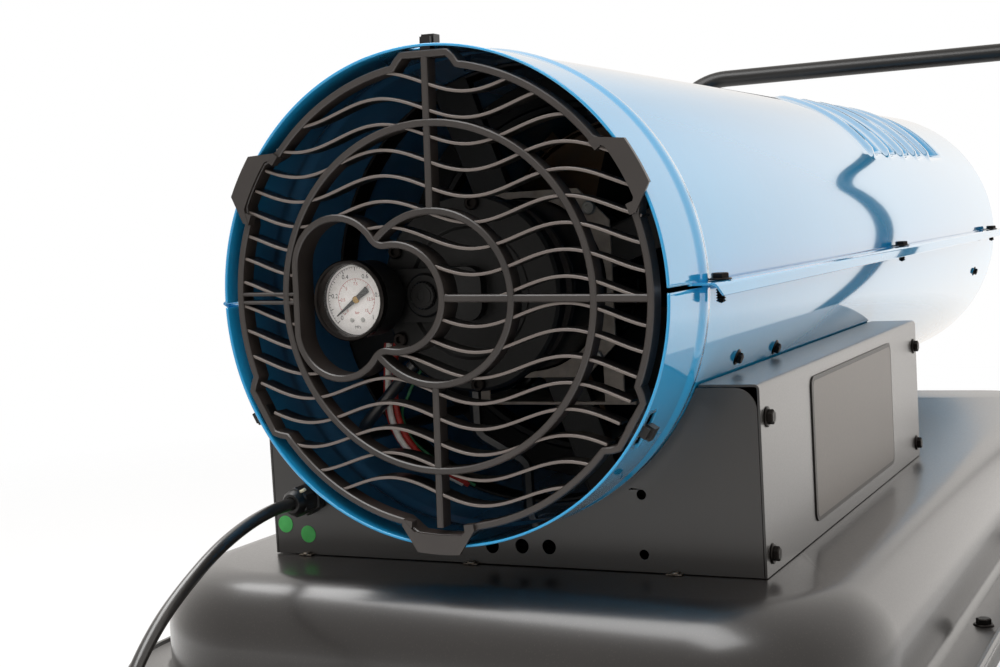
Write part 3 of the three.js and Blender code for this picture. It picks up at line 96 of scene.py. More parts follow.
# node graphs
class Out:
    # one output of a node; arithmetic on it adds Math nodes
    def __init__(self, graph, socket):
        self.graph = graph
        self.socket = socket

    def __add__(self, other):
        return self.graph.maths("ADD", self, other)

    def __radd__(self, other):
        return self.graph.maths("ADD", other, self)

    def __sub__(self, other):
        return self.graph.maths("SUBTRACT", self, other)

    def __rsub__(self, other):
        return self.graph.maths("SUBTRACT", other, self)

    def __mul__(self, other):
        return self.graph.maths("MULTIPLY", self, other)

    def __rmul__(self, other):
        return self.graph.maths("MULTIPLY", other, self)

    def __truediv__(self, other):
        return self.graph.maths("DIVIDE", self, other)

    def __rtruediv__(self, other):
        return self.graph.maths("DIVIDE", other, self)

    def __pow__(self, other):
        return self.graph.maths("POWER", self, other)

    def __lt__(self, other):
        return self.graph.maths("LESS_THAN", self, other)

    def __gt__(self, other):
        return self.graph.maths("GREATER_THAN", self, other)


class Graph:
    def __init__(self, tree):
        self.tree = tree

    def add(self, kind, settings=None, values=None, out=0):
        node = self.tree.nodes.new(kind)
        for key, value in (settings or {}).items():
            if key == "stops":
                ramp = node.color_ramp
                while len(ramp.elements) < len(value):
                    ramp.elements.new(0.5)
                for element, (place, colour) in zip(ramp.elements, value):
                    element.position = place
                    element.color = colour
            else:
                setattr(node, key, value)
        for key, value in (values or {}).items():
            if isinstance(value, Out):
                self.tree.links.new(value.socket, node.inputs[key])
            elif value is not None:
                node.inputs[key].default_value = value
        return Out(self, node.outputs[out] if node.outputs else None)

    def maths(self, operation, first, second=0.0):
        return self.add("ShaderNodeMath", {"operation": operation}, {0: first, 1: second})


def linear(hexColour):
    parts = [int(hexColour[i:i + 2], 16) / 255 for i in (0, 2, 4)]
    return tuple(c / 12.92 if c <= 0.04045 else ((c + 0.055) / 1.055) ** 2.4 for c in parts) + (1.0,)


# finishes
class Finish(Graph):
    def __init__(self, name):
        self.material = bpy.data.materials.new(name)
        self.material.use_nodes = True
        super().__init__(self.material.node_tree)
        self.tree.nodes.clear()
        self.surface = self.add("ShaderNodeTexCoord", out="Object")

    def noise(self, scale, detail=2.0, roughness=0.5, stretch=None):
        place = self.surface
        if stretch:
            place = self.add("ShaderNodeMapping", {}, {"Vector": place, "Scale": stretch})
        return self.add("ShaderNodeTexNoise", {}, {"Vector": place, "Scale": scale, "Detail": detail,
                "Roughness": roughness})

    def grains(self, scale):
        return self.add("ShaderNodeTexVoronoi", {}, {"Vector": self.surface, "Scale": scale})

    def spread(self, value, low, high, start=0.0, end=1.0):
        return self.add("ShaderNodeMapRange", {"clamp": True}, {"Value": value, "From Min": low,
                "From Max": high, "To Min": start, "To Max": end})

    def mixed(self, factor, first, second):
        node = self.tree.nodes.new("ShaderNodeMix")
        node.data_type = "RGBA"
        sockets = {s.identifier: s for s in node.inputs}
        for key, value in (("Factor_Float", factor), ("A_Color", first), ("B_Color", second)):
            if isinstance(value, Out):
                self.tree.links.new(value.socket, sockets[key])
            else:
                sockets[key].default_value = linear(value) if isinstance(value, str) else value
        return Out(self, next(s for s in node.outputs if s.identifier == "Result_Color"))

    def bumped(self, height, strength, distance):
        return self.add("ShaderNodeBump", {}, {"Height": height, "Strength": strength,
                "Distance": distance})

    def shade(self, **values):
        names = {"base": "Base Color", "rough": "Roughness", "metal": "Metallic", "coat": "Coat Weight",
                "coatRough": "Coat Roughness", "coatIor": "Coat IOR", "normal": "Normal",
                "alpha": "Alpha", "ior": "IOR", "specular": "Specular IOR Level"}
        shader = self.add("ShaderNodeBsdfPrincipled", {}, {names[k]: v for k, v in values.items()})
        self.add("ShaderNodeOutputMaterial", {}, {"Surface": shader})
        return self.material


def bluePaint(name="bluePaint", dark="2095cd", light="2ca5dd", inside=None):
    f = Finish(name)
    cloud = f.noise(2.2, 3)
    peel = f.noise(420, 2)
    dust = f.spread(f.noise(60, 6, 0.7), 0.55, 0.8)
    base = f.mixed(f.spread(cloud, 0.35, 0.7), dark, light)
    # the shell's inner face turns a darker, greyer blue deeper behind the rim: painted shade on the same
    # paint
    if inside:
        depth = f.add("ShaderNodeSeparateXYZ", {}, {0: f.surface}, out=1)
        base = f.mixed(f.spread(depth, rimPlace + 0.006, rimPlace + 0.05), base, inside)
    return f.shade(base=f.mixed(dust * 0.05, base, "9fc3d6"), rough=0.07 + dust * 0.05, specular=0.22,
            coat=1.0, coatRough=0.03, coatIor=1.52, normal=f.bumped(peel, 0.05, 0.0001))


def speckled(name, dark, light, fleck, grain, patch, specks, fleckMix, rough, specular, coat, coatRough,
        raised):
    # a rolled-on coat: cloudy patches, fine grain and pale flecks
    f = Finish(name)
    fine = f.noise(*grain)
    cloud = f.spread(f.noise(patch, 4), 0.3, 0.75)
    scale, low, high = specks
    speck = f.spread(f.grains(scale), low, high, 1.0, 0.0)
    return f.shade(base=f.mixed(speck * fleckMix, f.mixed(cloud, dark, light), fleck), rough=rough
            + fine * 0.12, specular=specular, coat=coat, coatRough=coatRough, coatIor=1.5,
            normal=f.bumped(fine + speck * raised, 0.16, 0.0002))


def grained(name, dark, light, grain, patch, between, rough, bump, mix=1.0, scuff=0.0, **others):
    # fine grain, with the second colour in patches
    f = Finish(name)
    fine = f.noise(*grain)
    patches = f.spread(f.noise(*patch), *between)
    return f.shade(base=f.mixed(patches * mix, dark, light), rough=rough[0] + fine * rough[1]
            + patches * scuff, normal=f.bumped(fine, *bump), **others)


def grillePlastic():
    f = Finish("grillePlastic")
    grain = f.noise(1500, 3, 0.6)
    patch = f.noise(16, 5)
    base = f.mixed(f.spread(patch, 0.3, 0.7), "2a2624", "3a3431")
    return f.shade(base=base, rough=0.27 + grain * 0.12 + f.spread(patch, 0.4, 0.8) * 0.08,
            specular=0.7, normal=f.bumped(grain, 0.14, 0.00012))


def slatPlastic():
    f = Finish("slatPlastic")
    grain = f.noise(1500, 3, 0.6)
    depth = f.add("ShaderNodeSeparateXYZ", {}, {0: f.surface}, out=1)
    # the slats' front edges are painted light, a painted highlight, and the strips behind them near black,
    # painted shade
    front = rimPlace + 0.0016
    paintedFrontHighlight = f.spread(depth, front + 0.0004, front + 0.0014, 1.0, 0.0)
    base = f.mixed(paintedFrontHighlight, "171514", "6e6560")
    return f.shade(base=base, rough=0.26 + grain * 0.12, specular=0.8,
            normal=f.bumped(grain, 0.12, 0.00012))


def metalFinish(name, dark, light, rough, brushed=None, bump=0.15):
    f = Finish(name)
    streak = f.noise(260, 4, 0.7, brushed)
    patch = f.noise(14, 5, 0.6)
    base = f.mixed(f.spread(patch + streak * 0.5, 0.5, 1.1), dark, light)
    return f.shade(base=base, metal=0.95, rough=rough + streak * 0.16,
            normal=f.bumped(streak, bump, 0.0003))


def heatedSteel():
    f = Finish("heatedSteel")
    streak = f.noise(200, 4, 0.7, (1, 0.05, 1))
    tint = f.noise(9, 4, 0.6)
    base = f.add("ShaderNodeValToRGB", {"stops": [(0.3, linear("8b8178")), (0.5, linear("8a6f55")),
            (0.62, linear("5c5563")), (0.75, linear("4a5566"))]}, {"Fac": tint})
    return f.shade(base=base, metal=0.85, rough=0.38 + streak * 0.2, normal=f.bumped(streak, 0.2, 0.0003))


def plainColour(name, dark, light, rough, bump=0.1, scale=300):
    f = Finish(name)
    grain = f.noise(scale, 3)
    base = f.mixed(f.spread(grain, 0.3, 0.7), dark, light)
    return f.shade(base=base, rough=rough + grain * 0.1, normal=f.bumped(grain, bump, 0.0002))


def lensGlass():
    f = Finish("lensGlass")
    smear = f.spread(f.noise(70, 4, 0.6), 0.5, 0.8)
    return f.shade(base=linear("ffffff"), rough=0.03 + smear * 0.05, alpha=0.045 + smear * 0.03,
            ior=1.45, specular=0.5)


finishes = {
    "blue": bluePaint(), "blueShadedInside": bluePaint("bluePaintInside", inside="4a86b4"),
    "coat": speckled("blackCoat", "171412", "211d1a", "5a514b", grain=(900, 3, 0.6), patch=7,
        specks=(700, 0.02, 0.2), fleckMix=0.12, rough=0.33, specular=0.5,
        coat=1.0, coatRough=0.26, raised=0.0),
    "tank": speckled("tankCoat", "171413", "211d1b", "5c534c", grain=(620, 4, 0.65), patch=5,
        specks=(520, 0.05, 0.3), fleckMix=0.16, rough=0.28, specular=0.6,
        coat=0.7, coatRough=0.2, raised=0.3),
    "tube": grained("tubeCoat", "191817", "4a4642", grain=(800, 3), patch=(35, 6, 0.75),
        between=(0.62, 0.72), rough=(0.28, 0.12), bump=(0.12, 0.0002), mix=0.5, scuff=0.2),
    "grille": grillePlastic(), "slat": slatPlastic(),
    "plastic": grained("blackPlastic", "0e0d0d", "191716", grain=(1300, 3, 0.6), patch=(22, 4),
        between=(0.35, 0.7), rough=(0.32, 0.14), bump=(0.18, 0.00015)),
    "cord": grained("cordRubber", "1c1917", "403a36", grain=(900, 4, 0.7), patch=(45, 5, 0.7),
        between=(0.55, 0.75), rough=(0.26, 0.1), bump=(0.2, 0.0002), mix=0.4,
        specular=0.9, coat=0.5, coatRough=0.16),
    "tyre": grained("tyreRubber", "161616", "4a4744", grain=(700, 5, 0.7), patch=(30, 6, 0.7),
        between=(0.48, 0.75), rough=(0.62, 0.2), bump=(0.35, 0.0004), mix=0.35),
    "screw": metalFinish("darkScrew", "1a1817", "312d2b", 0.28),
    "zinc": metalFinish("zincSteel", "6f675f", "968c82", 0.34, (1, 0.1, 1)),
    "steel": metalFinish("bareSteel", "a5a5a2", "c8c8c4", 0.24, (1, 0.08, 1)),
    "bezel": metalFinish("bezelMetal", "1d1b1a", "3d3937", 0.16),
    # the bracket plate: its own pale zinc colour, lightened further as painted light from the front
    "strap": plainColour("strapSteel", "9c9084", "b9ada0", 0.42, 0.1, 120),
    "brass": metalFinish("brassFitting", "a5823f", "c9a661", 0.28),
    "heated": heatedSteel(),
    "cast": grained("castMetal", "37322f", "4c4642", grain=(520, 5, 0.7), patch=(18, 4),
        between=(0.3, 0.7), rough=(0.45, 0.2), bump=(0.5, 0.0005), metal=0.6),
    "darkCast": grained("darkCast", "0a0a0a", "131211", grain=(520, 5, 0.7), patch=(18, 4),
        between=(0.3, 0.7), rough=(0.4, 0.2), bump=(0.4, 0.0004)),
    "lens": lensGlass(),
    "dial": plainColour("dialCard", "e9e5e2", "f4f1ef", 0.45),
    "black": plainColour("blackInk", "0d0d0d", "181818", 0.5),
    "red": plainColour("redInk", "b33a30", "c2483c", 0.5),
    "redWire": plainColour("redWire", "a52a22", "bb352b", 0.35),
    "whiteWire": plainColour("whiteWire", "dcd8d0", "f0ede6", 0.35),
    "greenWire": plainColour("greenWire", "2b6b45", "398455", 0.35),
    "sticker": plainColour("greenSticker", "3aa84c", "4fc063", 0.4, 0.05, 90),
    "plate": plainColour("ratingPlate", "5d5752", "6c655f", 0.3, 0.05, 500),
    "plateEdge": plainColour("plateBorder", "2b2725", "35302d", 0.35, 0.08, 500),
    "ceramic": plainColour("ceramic", "dad7cd", "efece3", 0.3),
    "board": plainColour("boardGreen", "1c5a38", "26714a", 0.4),
    "display": plainColour("displayWindow", "0b0b0d", "151518", 0.12, 0.02),
    "tag": plainColour("paleTag", "c9c2a6", "ddd7bd", 0.5),
}
print("finishes made:", len(finishes))


# mesh helpers
class Shape:
    # vertices in millimetres from the shell's axis, and faces with a finish each
    def __init__(self, finish):
        self.points = []
        self.faces = []
        self.finish = finish
        self.finishes = []

    def using(self, finish):
        self.finish = finish
        return self

    def face(self, corners):
        self.faces.append(tuple(corners))
        self.finishes.append(self.finish)

    def loft(self, rings, closed=True, caps=True, ringClosed=True):
        start = len(self.points)
        count = len(rings[0])
        for ring in rings:
            self.points.extend(Vector(p) for p in ring)
        spans = count if ringClosed else count - 1
        last = len(rings) if not caps and closed == "loop" else len(rings) - 1
        for i in range(last):
            j = (i + 1) % len(rings)
            for k in range(spans):
                n = (k + 1) % count
                self.face([start + i * count + k, start + i * count + n, start + j * count + n, start
                        + j * count + k])
        if caps:
            self.face([start + k for k in reversed(range(count))])
            self.face([start + (len(rings) - 1) * count + k for k in range(count)])
        return self

    def placed(self, matrix):
        self.points = [matrix @ p for p in self.points]
        return self

    def turned(self, profile, sides=64, centre=(0, 0, 0), axis="Y", caps=False, loop=True):
        # a profile of (radius, height) turned round a line through centre
        rings = []
        for radius, height in profile:
            ring = []
            for k in range(sides):
                a = 2 * pi * k / sides
                c, s = max(radius, 0.001) * cos(a), max(radius, 0.001) * sin(a)
                p = {"Y": (c, height, s), "X": (height, c, s), "Z": (c, s, height)}[axis]
                ring.append((p[0] + centre[0], p[1] + centre[1], p[2] + centre[2]))
            rings.append(ring)
        return self.loft(rings, closed="loop" if loop else True, caps=caps)

    def rod(self, radius, start, end, sides=20, bevel=0.0):
        start, end = Vector(start), Vector(end)
        ahead = (end - start).normalized()
        side = ahead.orthogonal().normalized()
        up = ahead.cross(side)
        rings = []
        steps = [(0, radius - bevel), (bevel, radius), ((end - start).length - bevel, radius),
                ((end - start).length, radius - bevel)] if bevel else [(0, radius),
                ((end - start).length, radius)]
        for along, r in steps:
            rings.append([start + ahead * along + (side * cos(a) + up * sin(a)) * r
                    for a in (2 * pi * k / sides for k in range(sides))])
        return self.loft(rings)

    def box(self, low, high):
        x0, y0, z0 = low
        x1, y1, z1 = high
        return self.loft([[(x0, y0, z0), (x1, y0, z0), (x1, y1, z0), (x0, y1, z0)],
                [(x0, y0, z1), (x1, y0, z1), (x1, y1, z1), (x0, y1, z1)]])

    def plate(self, outline, holes, low, high, across="Y"):
        # an outline of two coordinates with holes in it, made thick along the third
        def place(p, h):
            return {"Y": (p[0], h, p[1]), "X": (h, p[0], p[1]), "Z": (p[0], p[1], h)}[across]
        loops = [list(outline)] + [list(h) for h in holes]
        flat = [Vector((p[0], p[1], 0)) for loop in loops for p in loop]
        triangles = tessellate_polygon([[Vector((p[0], p[1], 0)) for p in loop] for loop in loops])
        start = len(self.points)
        count = len(flat)
        for h in (low, high):
            self.points.extend(Vector(place(p, h)) for p in flat)
        for t in triangles:
            self.face([start + i for i in t])
            self.face([start + count + i for i in reversed(t)])
        first = 0
        for loop in loops:
            for k in range(len(loop)):
                a, b = first + k, first + (k + 1) % len(loop)
                self.face([start + a, start + b, start + count + b, start + count + a])
            first += len(loop)
        return self

    def joined(self, other, matrix=None):
        start = len(self.points)
        self.points.extend(matrix @ p if matrix else p for p in other.points)
        self.faces.extend(tuple(start + i for i in f) for f in other.faces)
        self.finishes.extend(other.finishes)
        return self

    def mesh(self, name, inPlace=True):
        data = bpy.data.meshes.new(name)
        data.from_pydata([inFrame(p) if inPlace else p / 1000 for p in self.points], [], self.faces)
        used = list(dict.fromkeys(self.finishes))
        for key in used:
            data.materials.append(finishes[key])
        for polygon, key in zip(data.polygons, self.finishes):
            polygon.material_index = used.index(key)
        work = bmesh.new()
        work.from_mesh(data)
        bmesh.ops.remove_doubles(work, verts=work.verts, dist=0.00001)
        bmesh.ops.recalc_face_normals(work, faces=work.faces)
        work.to_mesh(data)
        work.free()
        return data


def showPiece(data, name, body="heater", node=None, bevel=0.0, segments=2, angle=32,
        wall=0.0, wallOffset=-1.0, inside=None):
    # links a finished shape or mesh as one piece that rides on its body
    data = data.mesh(name) if isinstance(data, Shape) else data
    piece = linked(name, data)
    data.shade_smooth()
    data.set_sharp_from_angle(angle=radians(angle))
    if wall:
        thick = piece.modifiers.new("wall", "SOLIDIFY")
        thick.thickness = wall / 1000
        thick.offset = wallOffset
        if inside:
            data.materials.append(finishes[inside])
            thick.material_offset = 1
    if bevel:
        soft = piece.modifiers.new("soft edges", "BEVEL")
        soft.width = bevel / 1000
        soft.segments = segments
        soft.limit_method = "ANGLE"
        soft.angle_limit = radians(angle)
        soft.use_clamp_overlap = True
    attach(piece, body)
    if node:
        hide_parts(node)
    return piece


def aboutAxis(angle):
    return Matrix.Rotation(-radians(angle), 4, "Y")


def arc(centre, radius, start, end, steps):
    # points on a round stretch, angles in degrees
    return [(centre[0] + radius * cos(radians(start + (end - start) * k / steps)), centre[1]
            + radius * sin(radians(start + (end - start) * k / steps))) for k in range(steps + 1)]


def roundBox(x0, x1, z0, z1, radius, steps=6):
    return (arc((x1 - radius, z0 + radius), radius, -90, 0, steps)
            + arc((x1 - radius, z1 - radius), radius, 0, 90, steps)
            + arc((x0 + radius, z1 - radius), radius, 90, 180, steps)
            + arc((x0 + radius, z0 + radius), radius, 180, 270, steps))


def ribbed(profile, sides, radiusAt, place):
    # rings of (height, shrink) with ribs or flutes round them
    return [[place(height, radiusAt(k, height, shrink), 2 * pi * k / sides) for k in range(sides)]
            for height, shrink in profile]


def circleAt(x, z, radius, steps=24):
    return arc((x, z), radius, 0, 360 - 360 / steps, steps - 1)


# Geometry Nodes
class GeoTree(Graph):
    # a tree with named inputs, run on a mesh and turned into a plain mesh
    def __init__(self, name, sizes):
        tree = bpy.data.node_groups.new(name, "GeometryNodeTree")
        super().__init__(tree)
        tree.interface.new_socket(name="Geometry", in_out="INPUT", socket_type="NodeSocketGeometry")
        kinds = {float: "NodeSocketFloat", int: "NodeSocketInt", bpy.types.Object: "NodeSocketObject",
                bpy.types.Material: "NodeSocketMaterial"}
        self.sockets = {}
        for key, value in sizes.items():
            kind = next(s for t, s in kinds.items() if isinstance(value, t))
            made = tree.interface.new_socket(name=key, in_out="INPUT", socket_type=kind)
            self.sockets[key] = (made.identifier, value)
        tree.interface.new_socket(name="Geometry", in_out="OUTPUT", socket_type="NodeSocketGeometry")
        self.entry = tree.nodes.new("NodeGroupInput")

    def given(self, key):
        return Out(self, self.entry.outputs[key])

    def run(self, result, data, name):
        real = self.add("GeometryNodeRealizeInstances", {}, {0: result})
        coated = self.add("GeometryNodeSetMaterial", {}, {"Geometry": real,
                "Material": self.given("Finish")})
        self.add("NodeGroupOutput", {}, {0: coated})
        holder = linked(name, data)
        modifier = holder.modifiers.new(name, "NODES")
        modifier.node_group = self.tree
        for identifier, value in self.sockets.values():
            modifier[identifier] = value
        bpy.context.view_layer.update()
        evaluated = holder.evaluated_get(bpy.context.evaluated_depsgraph_get())
        made = bpy.data.meshes.new_from_object(evaluated)
        made.name = name
        bpy.data.objects.remove(holder)
        return made


def pointMesh(name, points, facings=None, edges=()):
    data = bpy.data.meshes.new(name)
    data.from_pydata([tuple(p) for p in points], list(edges), [])
    if facings:
        layer = data.attributes.new("facing", "FLOAT_VECTOR", "POINT")
        for i, facing in enumerate(facings):
            layer.data[i].vector = facing
    return data


def scattered(name, shape, places, finish):
    # copies of one small mesh, each at (place, facing): screws, rivets and studs
    source = bpy.data.objects.new(name + "Source", shape.mesh(name + "Source", inPlace=False))
    tree = GeoTree(name, {"Piece": source, "Size": 1.0, "Finish": finishes[finish]})
    facing = tree.add("GeometryNodeInputNamedAttribute", {"data_type": "FLOAT_VECTOR"}, {"Name": "facing"})
    turn = tree.add("FunctionNodeAlignEulerToVector", {"axis": "Z"}, {"Vector": facing})
    copy = tree.add("GeometryNodeObjectInfo", {}, {"Object": tree.given("Piece")}, out="Geometry")
    points = tree.add("GeometryNodeMeshToPoints", {}, {"Mesh": Out(tree, tree.entry.outputs["Geometry"])})
    copies = tree.add("GeometryNodeInstanceOnPoints", {}, {"Points": points, "Instance": copy,
            "Rotation": turn, "Scale": tree.given("Size")})
    data = pointMesh(name + "Places", [inFrame(p) for p, _ in places], [f for _, f in places])
    made = tree.run(copies, data, name)
    bpy.data.objects.remove(source)
    return made


def around(name, shape, count, finish, axis="Y", centre=(0, 0, 0), start=0.0):
    # copies of one mesh, drawn in place, turned about an axis through centre
    source = bpy.data.objects.new(name + "Source", shape.mesh(name + "Source", inPlace=False))
    tree = GeoTree(name, {"Piece": source, "Count": count, "Start": radians(start),
            "Finish": finishes[finish]})
    line = tree.add("GeometryNodeMeshLine", {"mode": "OFFSET"}, {"Count": tree.given("Count"),
            "Offset": (0, 0, 0)})
    index = tree.add("GeometryNodeInputIndex")
    angle = index * (2 * pi) / tree.given("Count") + tree.given("Start")
    parts = {"XYZ".index(axis): angle}
    turn = tree.add("ShaderNodeCombineXYZ", {}, parts)
    copy = tree.add("GeometryNodeObjectInfo", {}, {"Object": tree.given("Piece")}, out="Geometry")
    copies = tree.add("GeometryNodeInstanceOnPoints", {}, {"Points": line, "Instance": copy,
            "Rotation": turn})
    place = inFrame(centre)
    moved = tree.add("GeometryNodeTransform", {}, {"Geometry": copies, "Translation": place})
    made = tree.run(moved, pointMesh(name + "Base", [(0, 0, 0)]), name)
    bpy.data.objects.remove(source)
    return made


def tubeRun(name, corners, radius, bend, finish, sides=24, closed=False):
    # a round tube along straight runs with round bends
    tree = GeoTree(name, {"Tube radius": radius / 1000, "Bend radius": bend / 1000, "Sides": sides,
            "Finish": finishes[finish]})
    path = tree.add("GeometryNodeMeshToCurve", {}, {"Mesh": Out(tree, tree.entry.outputs["Geometry"])})
    bent = tree.add("GeometryNodeFilletCurve", {"mode": "POLY"}, {"Curve": path, "Count": 14,
            "Radius": tree.given("Bend radius"), "Limit Radius": True})
    ring = tree.add("GeometryNodeCurvePrimitiveCircle", {}, {"Resolution": tree.given("Sides"),
            "Radius": tree.given("Tube radius")})
    tube = tree.add("GeometryNodeCurveToMesh", {}, {"Curve": bent, "Profile Curve": ring,
            "Fill Caps": True})
    count = len(corners)
    edges = [(i, i + 1) for i in range(count - 1)] + ([(count - 1, 0)] if closed else [])
    return tree.run(tube, pointMesh(name + "Path", [inFrame(p) for p in corners], edges=edges), name)


# cord, which comes before every other piece
cordSettings = Sizes({
    "radius": 4.2, "pitch": 9.2, "outer": 55.4, "turnsPerLayer": 2, "tail": 52.0, "stepsPerTurn": 48,
    "length": 1.8,
    # the free route, given in metres in the part's own frame
    "route": [(-0.1437, -0.5558, 0.3175), (-0.1434, -0.5775, 0.3174), (-0.1426, -0.6035, 0.3144),
              (-0.1418, -0.6285, 0.3088), (-0.1412, -0.6485, 0.3022), (-0.141, -0.6665, 0.2942),
              (-0.141, -0.6825, 0.286), (-0.141, -0.6975, 0.277), (-0.141, -0.7115, 0.2664),
              (-0.141, -0.7245, 0.254), (-0.1412, -0.7355, 0.239), (-0.1414, -0.7445, 0.22),
              (-0.1418, -0.7515, 0.197), (-0.1422, -0.7565, 0.17), (-0.1426, -0.7595, 0.14),
              (-0.1429, -0.7615, 0.11), (-0.143, -0.7629, 0.08), (-0.143, -0.7635, 0.051),
              (-0.1448, -0.7635, 0.0334), (-0.1514, -0.7635, 0.0194), (-0.162, -0.7635, 0.01),
              (-0.1746, -0.7635, 0.0062), (-0.187, -0.7635, 0.0059)],
})


def smoothed(points, steps):
    # a smooth line through given points
    points = [Vector(p) for p in points]
    ends = [points[0] * 2 - points[1]] + points + [points[-1] * 2 - points[-2]]
    line = []
    for a, b, c, d in zip(ends, ends[1:], ends[2:], ends[3:]):
        for k in range(steps):
            t = k / steps
            line.append(0.5 * ((2 * b) + (c - a) * t + (2 * a - 5 * b + 4 * c - d) * t * t
                    + (3 * b - a - 3 * c + d) * t * t * t))
    return line + [points[-1]]


def cordLine(settings):
    free = smoothed(settings.route, 4)
    start = free[-1]
    radius = settings.radius / 1000
    pitch = settings.pitch / 1000
    outer = settings.outer / 1000
    turns = 2 * settings.turnsPerLayer + 0.5
    centre = Vector((start.x - 0.0003 - 2 * radius, start.y + outer, start.z))
    coil = []
    for i in range(int(settings.stepsPerTurn * turns) + 1):
        t = i / settings.stepsPerTurn
        r = outer - pitch * min(t, turns - t)
        climb = min(max((t - settings.turnsPerLayer) / 0.5, 0), 1)
        a = -pi / 2 - 2 * pi * t
        coil.append(centre + Vector((r * cos(a), r * sin(a), pitch * climb * climb * (3 - 2 * climb))))
    tail = centre + Vector((settings.tail / 1000, outer, pitch))
    return free + coil + [coil[-1].lerp(tail, 0.5), tail]


def makeCord(settings):
    line = cordLine(settings)
    curve = bpy.data.curves.new("mainsCord", "CURVE")
    curve.dimensions = "3D"
    curve.bevel_depth = settings.radius / 1000
    curve.bevel_resolution = 5
    curve.use_fill_caps = True
    spline = curve.splines.new("POLY")
    spline.points.add(len(line) - 1)
    for point, place in zip(spline.points, line):
        point.co = (*place, 1)
    spline.use_smooth = True
    curve.materials.append(finishes["cord"])
    piece = linked("mainsCord", curve)
    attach(piece, "heater")
    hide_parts("power_cord", "cord_coil")
    measured = sum((b - a).length for a, b in zip(line, line[1:]))
    print(f"cord drawn: {measured:.3f} m")
    return piece, line[0]


cordPiece, cordExit = makeCord(cordSettings)
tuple(cordExit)

# shell
shell = Sizes({
    "radius": 150.0, "wall": 1.5, "length": 1165.0, "beadPlace": 60.0, "beadHeight": 1.6, "beadHalf": 10.0,
    "seamReach": 15.0, "seamFront": {-1: 17.0, 1: 38.0}, "lowerFront": {-1: 21.0, 1: 60.0}, "seamLip": 6.6,
    "lipSlant": 12.0,
    "halfGap": 0.15, "notch": 1.5,
    "louvreFirst": 640.0, "louvrePitch": 67.0, "louvres": 5, "louvreWidth": 6.0,
    "louvreRamp": 22.0, "louvreRise": 3.4,
    "louvreArcs": ((36, 76), (104, 144)), "foldCentres": (56, 124), "foldHalf": 19.0, "foldEase": 3.0,
    "step": 1.2, "steps": 150, "slotFrom": 5.5, "slotTo": 15.5,
    "hookSlots": {True: ((87.6, 93.6),), False: ((28.0, 35.5), (149.0, 151.0))},
    "screwFirst": 68.0, "screwPitch": 515.0, "screwRows": 3, "threadTurns": 6,
    "sideScrews": ((143.8, -20.1), (233, -21.1), (1051.6, -17.5)),
})


def shellRadiusAt(y, angle, upper):
    r = shell.radius
    d = abs(y - shell.beadPlace) / shell.beadHalf
    if d < 1:
        r += shell.beadHeight * (0.5 + 0.5 * cos(pi * d)) ** 0.8
    if upper:
        fold = min(abs(angle - a) for a in shell.foldCentres)
        side = 1 - max(0.0, (fold - shell.foldHalf) / shell.foldEase)
        if side > 0:
            for i in range(shell.louvres):
                slot = shell.louvreFirst + shell.louvrePitch * i
                along = (slot - y) / shell.louvreRamp
                if 0 <= along <= 1:
                    r += shell.louvreRise * min(side, 1) * (0.5 + 0.5 * cos(pi * along))
    return r


def shellStations():
    stops = [0, 1.2, 5, 12.5, 13.5, 16, 18, 33.5, 34.5] + [shell.beadPlace + shell.beadHalf * k / 8
            for k in range(-9, 11)]
    stops += [90, 150, 250, 350, 450, 550, 600]
    for i in range(shell.louvres):
        y = shell.louvreFirst + shell.louvrePitch * i
        stops += [y - shell.louvreRamp * k / 6 for k in range(7)] + [y + shell.louvreWidth]
    return sorted(set(stops + [1000, 1080, shell.length - 1.2, shell.length]))


def seamStart(upper, x):
    return shell["seamFront" if upper else "lowerFront"][1 if x > 0 else -1]


def shellHalf(upper):
    angles = [shell.step * k for k in range(shell.steps + 1)]
    stations = shellStations()
    half = Shape("blue")
    sign = 1 if upper else -1
    lift = shell.halfGap
    for y in stations:
        for a in angles:
            r = shellRadiusAt(y, a, upper)
            z = max(r * sin(radians(a)), lift)
            x = r * cos(radians(a))
            if y < seamStart(upper, x) - 4 and z < shell.notch:
                z = shell.notch
            half.points.append(Vector((x, y, sign * z)))
    count = len(angles)
    for i in range(len(stations) - 1):
        middle = (stations[i] + stations[i + 1]) / 2
        for k in range(count - 1):
            a = (angles[k] + angles[k + 1]) / 2
            if upper and any(s < a < e for s, e in shell.louvreArcs):
                along = (middle - shell.louvreFirst) / shell.louvrePitch
                if 0 <= along < shell.louvres and (along % 1) * shell.louvrePitch < shell.louvreWidth:
                    continue
            if shell.slotFrom < middle < shell.slotTo and any(s < a < e for s, e in shell.hookSlots[upper]):
                continue
            half.face([i * count + k, i * count + k + 1, (i + 1) * count + k + 1, (i + 1) * count + k])
    return half


def seamFlange(upper):
    # the flange where the halves meet, with a lip on the upper one
    flange = Shape("blue")
    for side in (-1, 1):
        inner = shell.radius - 1.0
        outer = shell.radius + shell.seamReach - (0 if upper else shell.wall + 0.3)
        low, high = (shell.halfGap, shell.halfGap + shell.wall)
        if upper:
            section = ([(inner, low), (outer - 2.8, low), (outer - shell.wall, low - 1.3),
                    (outer - shell.wall, -shell.seamLip), (outer, -shell.seamLip)]
                    + arc((outer - 2.5, high - 2.5), 2.5, 0, 90, 5) + [(inner, high)])
        else:
            section = [(inner, -high), (outer, -high), (outer, -low), (inner, -low)]
        rings = []
        for y, slant in ((seamStart(upper, side), shell.lipSlant), (shell.length, 0)):
            rings.append([(side * x, y + slant * max(-z, 0) / shell.seamLip, z) for x, z in section])
        flange.loft(rings)
    return flange


